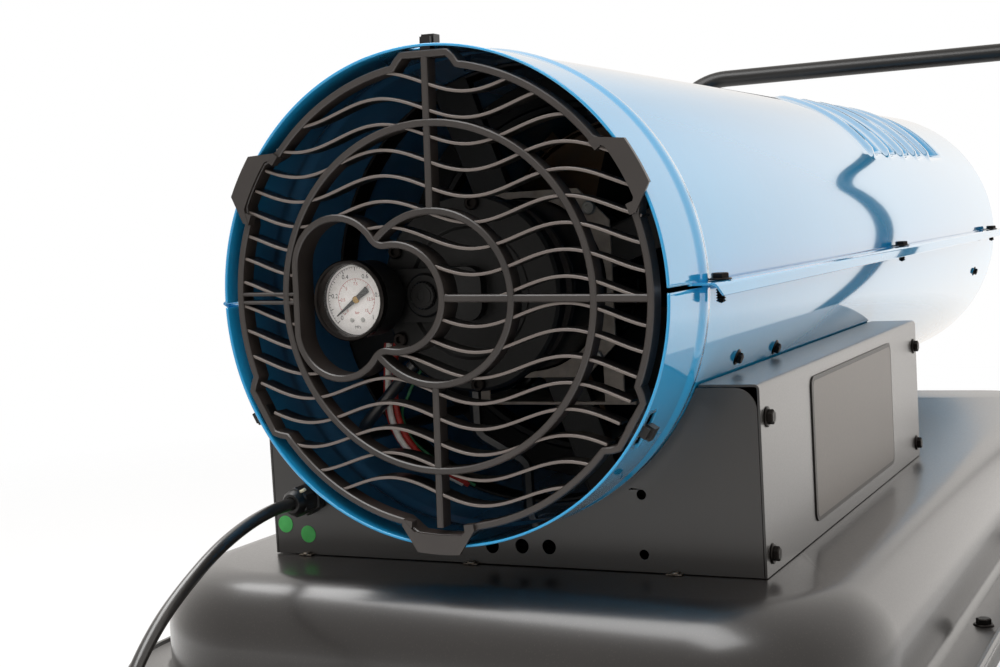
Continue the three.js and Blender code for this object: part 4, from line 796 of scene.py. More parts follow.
def hexScrew(head=5.4, reach=4.2):
    # a hex head on its own washer, with a cross in it, pointing up
    screw = Shape("screw")
    screw.turned([(0.01, 0), (head + 1.6, 0), (head + 1.8, 0.5), (head + 1.0, 1.1), (0.01, 1.1)], 28,
            axis="Z", loop=False)
    screw.loft([[(x, y, h) for x, y in circleAt(0, 0, r, 6)] for r,
            h in ((head, 1.0), (head, reach - 0.6), (head - 0.8, reach), (head - 2.2, reach))])
    for turn in (0, 90):
        c, s = cos(radians(turn)), sin(radians(turn))
        long, wide = 2.6, 0.45
        corners = [(-long, -wide), (long, -wide), (long, wide), (-long, wide)]
        screw.loft([[(x * c - y * s, x * s + y * c, h) for x, y in corners]
                for h in (reach - 0.2, reach + 0.06)])
    return screw


def makeShell():
    for upper, node in ((True, "shell_upper"), (False, "shell_lower")):
        half = shellHalf(upper)
        name = "upperShell" if upper else "lowerShell"
        showPiece(half, name, node=node, wall=shell.wall, wallOffset=-1.0, angle=50,
                inside="blueShadedInside")
        flangeName = name + "Flange"
        showPiece(seamFlange(upper), flangeName, bevel=0.3)
    rows = [shell.screwFirst + shell.screwPitch * i for i in range(shell.screwRows)]
    x = shell.radius + shell.seamReach / 2 - 0.5
    for side, sideName in ((-1, "left"), (1, "right")):
        for i, y in enumerate(rows):
            screw = Shape("screw").joined(hexScrew(), Matrix.Translation((side * x, y, 1.95)))
            thread = [(0.01, -12), (1.0, -11.6)]
            for k in range(shell.threadTurns):
                thread += [(2.2, -11.0 + 1.6 * k), (3.1, -10.4 + 1.6 * k), (2.2, -9.8 + 1.6 * k)]
            screw.turned(thread + [(2.2, 2.5), (0.01, 2.5)], 20, (side * x, y, 0), "Z", loop=False)
            name = f"seamScrew_{sideName}_{i + 1}"
            showPiece(screw, name, node=f"seam_screw_{sideName}_{i + 1}", bevel=0.15)
    places = []
    for y, a in shell.sideScrews:
        for turn in (a, 180 - a):
            out = Vector((cos(radians(turn)), 0, sin(radians(turn))))
            places.append((out * (shell.radius - 0.3) + Vector((0, y, 0)), out))
    showPiece(scattered("shellScrews", hexScrew(3.6, 4.0), places, "screw"), "shellScrews")
    print("shell made")


makeShell()

# intake grille
grille = Sizes({
    "turn": -1.6, "rings": (52.0, 104.0, 138.5), "ringWidth": 4.2, "ringDepth": 12.0, "slatPitch": 15.3,
    "slatOffset": 5.6, "slatSwing": 7.0, "slatWave": 119.0, "slatCrest": -32.5, "slatWall": 1.9,
    "slatDepth": 13.6,
    "slatFront": 1.6, "slatSteps": 240, "rows": 17, "rowsBelow": 8, "lobeX": -66.0, "lobeRise": 19.0,
    "lobeRadius": 30.5, "roundX": -26.0,
    "roundRadius": 32.5, "neckRadius": 10.0, "hookHalf": 6.3, "jog": 144.2, "pearDepth": 18.0,
    "partReach": 139.0, "lugReach": 4.2, "lugHalf": 5.3, "lugTaper": 4.7, "lugWall": 2.0, "lugBand": 11.8,
    "hookSlope": 2.7,
    "hooks": (90, 210, 330), "lugs": (30, 150, 270), "spoke": 4.4, "thinSpoke": 2.2,
})


def pearOutline(out=0.0, steps=20):
    # the outline of the window: a tall lobe round the gauge and a round one beside it
    g = grille
    tall = g.lobeRadius + out
    round_ = g.roundRadius + out
    neck = g.neckRadius - out
    # the neck is a small round corner that touches both lobes
    a = Vector((g.lobeX, g.lobeRise))
    b = Vector((g.roundX, 0))
    ra, rb = tall + neck, round_ + neck
    apart = (b - a).length
    along = (ra * ra - rb * rb + apart * apart) / (2 * apart)
    height = sqrt(max(ra * ra - along * along, 0))
    u = (b - a) / apart
    c = a + u * along + Vector((-u.y, u.x)) * height
    startAngle = degrees(atan2((c - a).y, (c - a).x))
    upperLobe = arc((g.lobeX, g.lobeRise), tall, startAngle, 180, steps)
    lowerLobe = arc((g.lobeX, -g.lobeRise), tall, 180, 360 - startAngle, steps)
    endAngle = degrees(atan2((c - b).y, (c - b).x))
    roundLobe = arc((g.roundX, 0), round_, -endAngle, endAngle, steps * 2)
    upperNeck = neckArc(c, a, b, neck)
    lowerNeck = [(x, -y) for x, y in upperNeck]
    return upperLobe + lowerLobe[1:] + lowerNeck[1:-1] + roundLobe + [p for p in reversed(upperNeck)][1:-1]


def neckArc(centre, first, second, radius, steps=8):
    a = atan2(first.y - centre.y, first.x - centre.x)
    b = atan2(second.y - centre.y, second.x - centre.x)
    if b - a > pi:
        b -= 2 * pi
    if a - b > pi:
        b += 2 * pi
    return [(centre.x + radius * cos(a + (b - a) * k / steps), centre.y
            + radius * sin(a + (b - a) * k / steps)) for k in range(steps + 1)]


def outerRing():
    # the outer ring steps out to the shell at each hook and lug
    g = grille
    points = []
    for a in range(0, 3600, 15):
        angle = a / 10
        near = min(abs((angle - h + 180) % 360 - 180) for h in g.hooks)
        edge = min(max((near - g.hookHalf) / g.hookSlope, 0), 1)
        out = g.jog / cos(radians(min(near, g.hookHalf)))
        r = out + (g.rings[2] - out) * edge
        near = min(abs((angle - h + 180) % 360 - 180) for h in g.lugs)
        edge = min(max((near - g.lugHalf - 0.8) / (g.lugTaper - 0.6), 0), 1)
        out = shell.radius + g.lugReach - g.lugBand + g.ringWidth / 2
        r = max(r, out + (g.rings[2] - out) * edge)
        points.append((r * cos(radians(angle)), r * sin(radians(angle))))
    return points


def ribbon(points, width, front, depth, closed=True):
    # a standing strip with rounded front edges along a flat line
    strip = Shape("grille")
    count = len(points)
    rings = []
    for i, p in enumerate(points):
        before = Vector(points[(i - 1) % count] if closed or i > 0 else p)
        after = Vector(points[(i + 1) % count] if closed or i < count - 1 else p)
        ahead = (after - before).normalized()
        side = Vector((-ahead.y, ahead.x)) * width / 2
        r = min(width * 0.3, 0.7)
        section = [(-1, depth), (-1, r), (-1 + 2 * r / width, 0), (1 - 2 * r / width, 0), (1, r),
                (1, depth)]
        rings.append([(p[0] + side.x * s, front + d, p[1] + side.y * s) for s, d in section])
    return strip.loft(rings, closed="loop" if closed else True, caps=not closed)


def slatTree():
    # wavy lines in rows, cut to the ring and the window, then made into standing strips
    g = grille
    sizes = {"Reach": g.rings[2] / 1000, "Pitch": g.slatPitch / 1000, "Swing": g.slatSwing / 1000,
            "Wave": g.slatWave / 1000, "Crest": g.slatCrest / 1000, "Rows": g.rows,
            "Depth": g.slatDepth / 1000, "Lowest": (g.slatOffset - g.slatPitch * g.rowsBelow) / 1000,
            "Finish": finishes["slat"]}
    t = GeoTree("grilleSlats", sizes)
    step = t.given("Reach") * 2 / g.slatSteps
    offset = t.add("ShaderNodeCombineXYZ", {}, {0: step})
    start = t.add("ShaderNodeCombineXYZ", {}, {0: t.given("Reach") * -1})
    line = t.add("GeometryNodeMeshLine", {"mode": "OFFSET"}, {"Count": g.slatSteps + 1,
            "Start Location": start, "Offset": offset})
    place = t.add("GeometryNodeInputPosition")
    x = t.add("ShaderNodeSeparateXYZ", {}, {0: place})
    wave = t.maths("COSINE", (x - t.given("Crest")) * (2 * pi) / t.given("Wave")) * t.given("Swing")
    rise = t.add("ShaderNodeCombineXYZ", {}, {2: wave})
    waved = t.add("GeometryNodeSetPosition", {}, {"Geometry": line, "Offset": rise})
    up = t.add("ShaderNodeCombineXYZ", {}, {2: t.given("Pitch")})
    first = t.add("ShaderNodeCombineXYZ", {}, {2: t.given("Lowest")})
    rows = t.add("GeometryNodeMeshLine", {"mode": "OFFSET"}, {"Count": t.given("Rows"),
            "Start Location": first, "Offset": up})
    copies = t.add("GeometryNodeInstanceOnPoints", {}, {"Points": rows, "Instance": waved})
    real = t.add("GeometryNodeRealizeInstances", {}, {0: copies})
    z = t.add("ShaderNodeSeparateXYZ", {}, {0: place}, out=2)
    lobeZ = t.maths("MAXIMUM", t.maths("ABSOLUTE", z) - g.lobeRise / 1000, 0.0)
    tall = (x - g.lobeX / 1000) ** 2 + lobeZ ** 2 < (g.lobeRadius / 1000) ** 2
    beside = (x - g.roundX / 1000) ** 2 + z ** 2 < (g.roundRadius / 1000) ** 2
    # beside a lug the rows run on to its band
    limit = t.given("Reach")
    for a in g.lugs:
        along = x * cos(radians(a)) + z * sin(radians(a))
        beyondRing = (shell.radius + g.lugReach - g.lugBand - g.rings[2]) / 1000
        limit = limit + (along > g.rings[2] * cos(radians(g.lugHalf + 1)) / 1000) * beyondRing
    outside = x ** 2 + z ** 2 > limit ** 2
    gone = t.maths("MAXIMUM", t.maths("MAXIMUM", tall, beside), outside)
    cut = t.add("GeometryNodeDeleteGeometry", {"domain": "POINT"}, {"Geometry": real, "Selection": gone})
    deep = t.add("ShaderNodeCombineXYZ", {}, {1: t.given("Depth")})
    strips = t.add("GeometryNodeExtrudeMesh", {"mode": "EDGES"}, {"Mesh": cut, "Offset": deep,
            "Offset Scale": 1.0})
    turned = t.add("GeometryNodeTransform", {}, {"Geometry": strips,
            "Translation": inFrame((0, g.slatFront, 0)), "Rotation": (0, -radians(g.turn), 0)})
    return t.run(turned, pointMesh("slatBase", [(0, 0, 0)]), "grilleSlats")


def makeGrille():
    g = grille
    body = Shape("grille")
    body.joined(ribbon(outerRing(), g.ringWidth, 0, g.ringDepth))
    body.joined(ribbon(arc((0, 0), g.rings[1], 0, 357, 119), g.ringWidth, 0, g.ringDepth))
    partRing = arc((0, 0), g.rings[0], -g.partReach, g.partReach, 60)
    body.joined(ribbon(partRing, g.ringWidth, 0, g.ringDepth, closed=False))
    body.joined(ribbon(pearOutline(0.0), g.ringWidth, -0.15, g.pearDepth))
    inner, outer = g.rings[0], g.rings[2]
    left, right = g.lobeX - g.lobeRadius, g.roundX + g.roundRadius
    for start, end, width in (
            ((0, inner), (0, g.jog), g.spoke), ((0, -inner), (0, -outer), g.spoke),
            ((right, 0), (outer, 0), g.spoke),
            ((-outer, 2.6), (left, 2.6), g.thinSpoke), ((-outer, -2.6), (left, -2.6), g.thinSpoke)):
        body.joined(ribbon([start, end], width, 0.4, g.ringDepth - 1.5, closed=False))
    for angle in g.lugs:
        body.joined(lug(angle))
    for angle in g.hooks:
        body.joined(hook(angle))
    showPiece(body.placed(aboutAxis(g.turn)), "intakeGrille", node="intake_grille",
            angle=40)
    showPiece(slatTree(), "grilleSlats", wall=g.slatWall, wallOffset=0.0,
            bevel=0.8, segments=3, angle=50)
    print("grille made")


def lug(angle):
    # an open band from the ring over the shell's rim, with a heel at each end and a flange outside
    g = grille
    piece = Shape("grille")
    inner, outer = g.rings[2] - g.ringWidth / 2, shell.radius + g.lugReach
    half = g.lugHalf
    wide = half + g.lugTaper
    band = outer - g.lugBand
    web = (arc((0, 0), outer + 0.1, -half, half, 6) + arc((0, 0), inner + g.ringWidth, wide, wide + 0.1,
            1) + arc((0, 0), inner, wide + 0.1, wide, 1) + arc((0, 0), band, half + 1.4, -half - 1.4, 6)
            + arc((0, 0), inner, -wide, -wide - 0.1, 1) + arc((0, 0), inner + g.ringWidth, -wide - 0.1,
            -wide, 1))
    piece.plate(web, [], -0.3 - g.lugWall, -0.3)
    flange = arc((0, 0), outer, -half, half, 6) + arc((0, 0), shell.radius + 0.3, half, -half, 6)
    piece.plate(flange, [], -0.2 - g.lugWall, 1.2)
    for low, high in ((-wide, 2.6 - wide), (wide - 2.6, wide)):
        heel = arc((0, 0), inner + g.ringWidth, low, high, 4) + arc((0, 0), inner, high, low, 4)
        piece.plate(heel, [], -0.1 - g.lugWall, 4)
    return piece.placed(aboutAxis(angle))


def hook(angle):
    # an arm from the ring through the slot in the shell, with a nose
    base = grille.jog - 3
    piece = Shape("plastic")
    piece.box((base, 3, -3.4), (shell.radius + 4.4, 9.5, 3.4))
    piece.box((shell.radius + 0.8, 6.5, -4.2), (shell.radius + 6.0, 14, 4.2))
    return piece.placed(aboutAxis(angle))


makeGrille()

# pressure gauge
gauge = Sizes({
    "x": -62.5, "radius": 25.2, "front": 12.0, "caseFront": 6.5, "depth": 24.0, "wall": 2.9, "sweep": 270.0,
    "zero": 225.0,
    "mpaRadius": 20.6, "barRadius": 13.2, "scaleSteps": 90, "needleAngle": -145.0,
})


def dialPoint(radius, angle, y):
    return (gauge.x + radius * cos(radians(angle)), y, radius * sin(radians(angle)))


def dialText(words, size, radius, angle, y, finish, piece):
    curve = bpy.data.curves.new("dialText", "FONT")
    curve.body = words
    curve.size = size / 1000
    curve.align_x = "CENTER"
    curve.align_y = "CENTER"
    curve.resolution_u = 3
    holder = linked("dialText", curve)
    bpy.context.view_layer.update()
    flat = bpy.data.meshes.new_from_object(holder.evaluated_get(bpy.context.evaluated_depsgraph_get()))
    spot = Vector(dialPoint(radius, angle, y))
    start = len(piece.points)
    for v in flat.vertices:
        piece.points.append(spot + Vector((v.co.x * 1000, 0, v.co.y * 1000)))
    piece.using(finish)
    for polygon in flat.polygons:
        piece.face([start + i for i in polygon.vertices])
    bpy.data.objects.remove(holder)
    bpy.data.curves.remove(curve)


def makeGauge():
    g = gauge
    x, front, back = g.x, g.front, g.front + g.depth
    inner = g.radius - g.wall
    case = Shape("bezel")
    lip = g.caseFront
    case.turned([(inner, front + 5.4), (inner, lip + 1.4), (inner + 0.8, lip + 0.2),
            (g.radius - 0.8, lip), (g.radius, lip + 0.9), (g.radius, lip + 6),
            (g.radius - 1.2, lip + 7)], 96, (x, 0, 0), loop=False)
    case.using("darkCast")
    case.turned([(0.01, front + 5.4), (inner, front + 5.4), (g.radius - 1.2, lip + 7),
            (g.radius - 1.2, back - 1), (g.radius - 2.4, back), (6, back), (6, 47.6), (0.01, 47.6)], 96,
            (x, 0, 0), loop=False)
    case.using("brass")
    case.loft([[(u, y, w) for u, w in circleAt(x, 0, 9, 6)] for y in (back + 1, back + 9)])
    showPiece(case, "gaugeCase", node="gauge_case", angle=35)
    dialFront = front + 4.85
    dial = Shape("dial")
    dial.turned([(0.01, dialFront + 0.7), (inner - 0.3, dialFront + 0.7), (inner - 0.3, dialFront),
            (0.01, dialFront)], 96, (x, 0, 0), loop=False)
    for side in (-1, 1):
        dial.using("steel").rod(1.5, (x + side * 3.9, dialFront - 0.5, -12.6),
                (x + side * 3.9, dialFront + 0.2, -12.6), 20, 0.2)
    showPiece(dial, "gaugeDial", node="gauge_dial", angle=35)
    ink = Shape("black")
    y = dialFront - 0.06
    for steps, radius, long, wide, finish in ((50, g.mpaRadius, 1.2, 0.22, "black"),
            (10, g.mpaRadius, 2.4, 0.42, "black"), (30, g.barRadius, 0.9, 0.2, "red"),
            (6, g.barRadius, 1.8, 0.36, "red")):
        ink.using(finish)
        for k in range(steps + 1):
            a = radians(g.zero - g.sweep * k / steps)
            out = Vector((cos(a), 0, sin(a)))
            side = Vector((-out.z, 0, out.x)) * wide / 2
            far = Vector((x, y, 0)) + out * radius
            near = far - out * long
            start = len(ink.points)
            ink.points.extend([near - side, far - side, far + side, near + side])
            ink.face([start, start + 1, start + 2, start + 3])
    for radius, wide, finish in ((g.mpaRadius, 0.22, "black"), (g.barRadius, 0.2, "red")):
        ink.using(finish)
        ring = arc((x, 0), radius, g.zero - g.sweep, g.zero, g.scaleSteps)
        inside = arc((x, 0), radius - wide, g.zero - g.sweep, g.zero, g.scaleSteps)
        start = len(ink.points)
        ink.points.extend(Vector((p[0], y, p[1])) for p in ring + inside)
        across = g.scaleSteps + 1
        for k in range(start, start + g.scaleSteps):
            ink.face([k, k + 1, across + k + 1, across + k])
    for k, words in enumerate(("0", "0.2", "0.4", "0.6", "0.8", "1")):
        dialText(words, 4.0, 16.0, g.zero - g.sweep * k / 5, y, "black", ink)
    for k, words in enumerate(("0", "2.5", "5", "7.5", "10", "12.5", "15")):
        dialText(words, 2.7, 9.8, g.zero - g.sweep * k / 6, y, "red", ink)
    dialText("bar", 2.5, 8.2, 270, y, "red", ink)
    dialText("MPa", 2.6, 17.2, 270, y, "black", ink)
    data = ink.mesh("gaugeScale")
    for polygon in data.polygons:
        if polygon.normal.y > 0:
            polygon.flip()
    showPiece(data, "gaugeScale", wall=0.04, wallOffset=-1.0, angle=35)
    needle = Shape("black")
    a = radians(g.needleAngle)
    out = Vector((cos(a), 0, sin(a)))
    side = Vector((-out.z, 0, out.x))
    hubY = dialFront - 1.5
    outline = [(-11, -2.1), (-11, 2.1), (-1, 1.5), (17.2, 0.35), (17.2, -0.35), (-1, -1.5)]
    for depth in (0, 1):
        needle.points.extend(Vector((x, hubY + 0.45 * depth, 0)) + out * u + side * v for u, v in outline)
    needle.face(range(6))
    needle.face([6 + k for k in reversed(range(6))])
    for k in range(6):
        needle.face([k, (k + 1) % 6, 6 + (k + 1) % 6, 6 + k])
    needle.using("brass").turned([(0.01, hubY - 0.15), (1.7, hubY - 0.15), (2.3, hubY + 0.3),
            (2.3, hubY + 1.1), (0.01, hubY + 1.1)], 32, (x, 0, 0), loop=False)
    showPiece(needle, "gaugeNeedle", body="needle", node="gauge_needle", angle=35)
    lens = Shape("lens")
    lens.turned([(0.01, front + 1.7), (inner - 0.3, front + 1.9), (inner - 0.3, front + 2.9),
            (0.01, front + 2.7)], 96, (x, 0, 0), loop=False)
    showPiece(lens, "gaugeLens", node="gauge_lens", angle=35)
    print("gauge made")


makeGauge()

# pump, motor and fan
pump = Sizes({
    "front": 48.0, "thickness": 10.0, "radius": 62.0, "bodyRadius": 59.0, "bodyBack": 78.3, "gaugeX": -62.5,
    "screws": ((6.5, 56), (4, -57), (-50, 28), (-50, -28)), "fins": 36,
    "adjusterX": -27.0, "adjusterFront": 37.0, "motorRadius": 58.0, "motorFront": 78.6, "motorBack": 208.6,
    "bracketFront": 134.0, "bracketBack": 154.0, "bracketArms": (20, 110, 200, 290), "plateHalf": 62.6,
    "plateCut": 22.0, "shelf": (-52.0, 75.0, -79.0), "shroudPlace": 233.0,
    "shroudInner": 121.0, "fanPlace": 258.0, "fanRadius": 116.0, "hubRadius": 22.0, "blades": 5,
    "pitch": 32.0,
})


def capScrew(radius=4.6, height=3.2):
    # a round head with a socket, pointing up
    screw = Shape("screw")
    screw.turned([(0.01, 1.2), (radius * 0.5, 1.2), (radius * 0.5, height), (radius - 0.7, height),
            (radius, height - 0.7), (radius, 0), (0.01, 0)], 20, axis="Z", loop=False)
    return screw


def makePump():
    p = pump
    back = p.front + p.thickness
    cover = Shape("darkCast")
    cover.turned([(0.01, p.front + 2), (40, p.front + 2), (42, p.front), (60, p.front),
            (p.radius, p.front + 2), (p.radius, back), (0.01, back)], 96, loop=False)
    bar = roundBox(p.gaugeX - 14, 12, -17, 17, 10)
    cover.plate(bar, [], p.front - 6, p.front + 3)
    cover.plate(roundBox(p.gaugeX - 16, p.gaugeX + 16, -16, 16, 5), [], p.front - 6, back)
    cover.turned([(6.2, p.adjusterFront + 3), (12.6, p.adjusterFront + 3), (14, p.adjusterFront + 4.2),
            (14, back - 2), (6.2, back - 2)], 48, (p.adjusterX, 0, 0))
    showPiece(cover, "pumpCover", node="pump_end_cover", bevel=0.5, angle=35)
    screws = [(x, p.front, z) for x, z in p.screws]
    showPiece(scattered("pumpScrews", capScrew(), [(s, (0, -1, 0)) for s in screws], "screw"),
            "pumpScrews")
    head = Shape("plastic")
    head.loft(ribbed([(p.adjusterFront, 0.8), (p.adjusterFront + 0.8, 0), (p.adjusterFront + 2.7, 0)],
            96, lambda k, y, shrink: 9 - shrink - (0.45 if k % 4 < 2 else 0), lambda y, r,
            a: (p.adjusterX + r * cos(a), y, r * sin(a))))
    head.rod(5, (p.adjusterX, p.adjusterFront + 2, 0), (p.adjusterX, 52, 0), 24)
    c, s = cos(radians(80)), sin(radians(80))
    bar = [(-7.4, -1.1), (7.4, -1.1), (7.4, 1.1), (-7.4, 1.1)]
    head.using("black").loft([[(p.adjusterX + x * c - z * s, y, x * s + z * c) for x, z in bar]
            for y in (p.adjusterFront - 0.05, p.adjusterFront + 0.5)])
    head.using("plastic").turned([(3.4, p.adjusterFront - 0.5), (6.4, p.adjusterFront - 0.5),
            (6.4, p.adjusterFront + 0.2), (3.4, p.adjusterFront + 0.2)], 48, (p.adjusterX, 0, 0))
    showPiece(head, "pressureScrew", body="adjuster", node="pressure_screw")
    body = Shape("cast")
    body.turned([(31.5, back + 0.3), (p.bodyRadius - 1, back + 0.3), (p.bodyRadius, back + 1.3),
            (p.bodyRadius, back + 6), (p.bodyRadius - 3, back + 8), (p.bodyRadius - 3, p.bodyBack - 6),
            (p.bodyRadius, p.bodyBack - 4), (p.bodyRadius, p.bodyBack), (6.6, p.bodyBack),
            (6.6, p.bodyBack - 4), (31.5, p.bodyBack - 4)], 96)
    showPiece(body, "pumpBody", node="pump_body", angle=35)
    motor = Shape("darkCast")
    r, f, b = p.motorRadius, p.motorFront, p.motorBack
    motor.turned([(6.6, f), (r - 8, f), (r - 1, f + 6), (r, f + 9), (r, f + 16), (r - 1.2, f + 17),
            (r - 1.2, b - 17), (r, b - 16), (r, b - 9), (r - 2, b - 5), (r - 14, b), (6.6, b)], 96)
    showPiece(motor, "motorBody", node="motor_body", angle=30)
    fin = Shape("darkCast").box((r - 2.5, p.bracketBack + 4, -0.9), (r + 2.8, b - 18, 0.9))
    showPiece(around("motorFins", fin, p.fins, "darkCast"), "motorFins")
    bracket = Shape("darkCast")
    y0, y1 = p.bracketFront, p.bracketBack
    outer = shell.radius - shell.wall - 0.3
    bracket.turned([(outer - 2, y0), (outer, y0), (outer, y1), (outer - 2, y1)], 96)
    bracket.turned([(58.3, y0), (60.3, y0), (60.3, y1), (58.3, y1)], 96)
    for a in p.bracketArms:
        arm = Shape("darkCast")
        arm.box((59.5, y0, -13), (outer - 1, y0 + 2, 13))
        arm.box((60, y0, -13), (outer - 1, y0 + 9, -11.5))
        arm.box((60, y0, 11.5), (outer - 1, y0 + 9, 13))
        bracket.joined(arm, aboutAxis(a))
    half, cut = p.plateHalf, p.plateCut
    corners = [(half, half - cut), (half - cut, half), (cut - half, half), (-half, half - cut),
            (-half, cut - half), (cut - half, -half), (half - cut, -half), (half, cut - half)]
    bracket.using("strap").plate(corners, [circleAt(0, 0, 58.4, 64)], y0 - 2, y0 + 0.2)
    shelf = p.shelf
    bracket.box((shelf[0], y0 - 2, shelf[2] - 2), (shelf[1], y0 + 70, shelf[2]))
    for x in (shelf[0] + 6, shelf[1] - 22):
        bracket.box((x, y0 - 2, shelf[2]), (x + 14, y0, 8 - half))
    showPiece(bracket, "motorBracket", node="motor_bracket", bevel=0.3)
    spot = half - 13.5
    places = [((x * spot, y0 - 2, z * spot), (0, -1, 0)) for x in (-1, 1) for z in (-1, 1)]
    showPiece(scattered("bracketScrews", capScrew(), places, "steel"), "bracketScrews")
    inner, y = p.shroudInner, p.shroudPlace
    shroud = Shape("darkCast")
    shroud.turned([(inner, y + 3), (inner - 0.2, y - 3), (inner + 1.6, y - 7), (inner + 5, y - 8),
            (inner + 7, y - 6), (inner + 7.4, y), (outer, y), (outer, y + 3)], 96)
    showPiece(shroud, "fanShroud", node="fan_shroud", angle=40)
    makeFan()
    coatNode("rotor_shaft", "steel")
    coatNode("pump_rotor", "cast")
    print("pump, motor and fan made")


def makeFan():
    p = pump
    blade = Shape("darkCast")
    rings = []
    for i in range(13):
        out = i / 12
        r = p.hubRadius - 3 + (p.fanRadius - p.hubRadius + 3) * out
        half = (19 + 12 * sin(pi * (0.25 + 0.55 * out))) * (1.0 if out < 0.85 else 1 - 2.2 * (out - 0.85))
        pitch = radians(p.pitch + 12 * (1 - out))
        upper, lower = [], []
        for k in range(11):
            s = -1 + 2 * k / 10
            bow = 5.0 * (1 - s * s)
            for side, shift in ((upper, 0.9), (lower, -0.9)):
                turn = (s * half * cos(pitch) - (bow + shift) * sin(pitch)) / r
                rise = s * half * sin(pitch) + (bow + shift) * cos(pitch)
                side.append((r * cos(turn), p.fanPlace + rise, r * sin(turn)))
        rings.append(upper + lower[::-1])
    blade.loft(rings)
    showPiece(around("fanBlades", blade, p.blades, "darkCast"), "fanBlades", body="rotor",
            angle=50)
    hub = Shape("cast")
    y0, y1 = p.fanPlace - 15, p.fanPlace + 15
    hub.turned([(6.3, y0), (p.hubRadius - 3, y0), (p.hubRadius, y0 + 3), (p.hubRadius, y1 - 3),
            (p.hubRadius - 3, y1), (6.3, y1)], 64)
    showPiece(hub, "fanHub", body="rotor", node="fan", angle=35)


def coatNode(node, finish):
    # a CAD node that keeps its own shape gets its finish here
    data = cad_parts[node].data
    data.materials.clear()
    data.materials.append(finishes[finish])


makePump()

# burner, chamber and outlet
burner = Sizes({
    "radius": 120.0, "wall": 1.5, "start": 330.0, "end": 1135.0, "headHole": 28.0, "lip": 98.0,
    "baffle": 62.0,
    "beads": (430, 560, 690, 820, 950, 1080), "feet": (48.75, 131.25, 228.75, 311.25),
    "bafflePorts": ((22, 6), (44, 12)),
})


def makeChamber():
    b = burner
    r, w = b.radius, b.wall
    outer = [(r, b.start)]
    for y in b.beads:
        outer += [(r, y - 8), (r + 2.6, y - 3), (r + 2.6, y + 3), (r, y + 8)]
    outer += [(r, b.end)]
    can = Shape("heated").turned(outer + [(x - w, y) for x, y in reversed(outer)], 96)
    for y in (b.start + 60, b.end - 90):
        for a in b.feet:
            foot = Shape("heated").box((r - 1.4, y, -8.5), (shell.radius - shell.wall - 1.4, y + 3, 8.5))
            can.joined(foot, aboutAxis(a))
    showPiece(can, "combustionChamber", node="combustion_chamber", angle=40)
    rim = r - w - 0.3
    y = b.start
    head = Shape("heated").turned([(b.headHole, y - 16), (rim - 14, y), (rim - 3, y), (rim, y + 3),
            (rim, y + 18), (rim - 2, y + 18), (rim - 2, y + 6), (rim - 6, y + 2), (rim - 14, y + 2),
            (b.headHole, y - 14)], 96)
    showPiece(head, "chamberHead", node="chamber_head", angle=40)
    end = b.end
    ring = Shape("heated").turned([(rim - 1.5, end - 38), (rim, end - 38), (rim, end + 4),
            (rim - 2, end + 9), (b.lip + 2, end + 22), (b.lip - 1, end + 22.6), (b.lip - 1.4, end + 21),
            (rim - 3.2, end + 7.5), (rim - 1.5, end + 3)], 96)
    plate = circleAt(0, 0, b.baffle, 64)
    holes = [circleAt(r0 * cos(a), r0 * sin(a), 5, 16) for r0, n in b.bafflePorts
            for a in (2 * pi * k / n for k in range(n))]
    ring.plate(plate, holes, end - 32, end - 30)
    for a in (90, 210, 330):
        arm = Shape("heated").box((b.baffle - 3, end - 32, -5), (rim - 0.9, end - 30, 5))
        ring.joined(arm, aboutAxis(a))
    showPiece(ring, "outletRing", node="outlet_ring", angle=40)
    for node, finish in (("nozzle_adapter", "brass"), ("igniter", "ceramic"), ("flame_sensor", "plastic")):
        coatNode(node, finish)
    print("chamber made")


makeChamber()


# hoses and wires
def softRun(points, radius, finish, sides=12, steps=6):
    # a round tube along a smooth line through a few points
    line = smoothed(points, steps)
    piece = Shape(finish)
    rings = []
    up = (line[1] - line[0]).orthogonal().normalized()
    for i, p in enumerate(line):
        ahead = (line[min(i + 1, len(line) - 1)] - line[max(i - 1, 0)]).normalized()
        up = (up - ahead * up.dot(ahead)).normalized()
        side = ahead.cross(up)
        rings.append([p + (side * cos(a) + up * sin(a)) * radius for a in (2 * pi * k / sides
                for k in range(sides))])
    return piece.loft(rings)


def makeHoses():
    air = [(-44.1, 53, -44.1), (-94, 53, -94), (-94, 305.5, -94), (-10.6, 305.5, -10.6)]
    showPiece(tubeRun("airHose", air, 4.0, 20, "cord", 16), "airHose", node="air_hose")
    fuel = [(0, 600, -165.7), (0, 600, -133), (0, 305.5, -133), (0, 305.5, -15)]
    showPiece(tubeRun("fuelHose", fuel, 4.0, 10, "cord", 16), "fuelHose", node="fuel_hose")
    coatNode("motor_wires", "cord")
    loose = {
        "redWire": [(-74, 70, -32), (-73.5, 66, -54), (-74.5, 66, -70), (-73.5, 68, -84), (-69, 72, -98),
            (-60, 80, -112), (-40, 96, -128)],
        "whiteWire": [(-70, 66, -32), (-70, 62, -54), (-70.6, 62, -70), (-69.6, 64, -84), (-65.5, 68, -98),
            (-57, 78, -112), (-37, 95, -129)],
        "redWireInner": [(-66, 68, -32), (-66, 64, -54), (-66.6, 64, -70), (-65.4, 66, -84), (-61, 70, -98),
            (-53, 80, -113), (-34, 97, -130)],
        "greenWire": [(-48, 76, -44), (-56, 70, -59), (-62, 70, -70), (-67, 72, -80), (-62, 76, -98),
            (-46, 90, -118), (-30, 99, -131)],
    }
    for name, points in loose.items():
        finish = "redWire" if name.startswith("red") else name
        showPiece(softRun(points, 2.1 if finish != "greenWire" else 1.1, finish), name,
                angle=60)
    print("hoses made")


makeHoses()

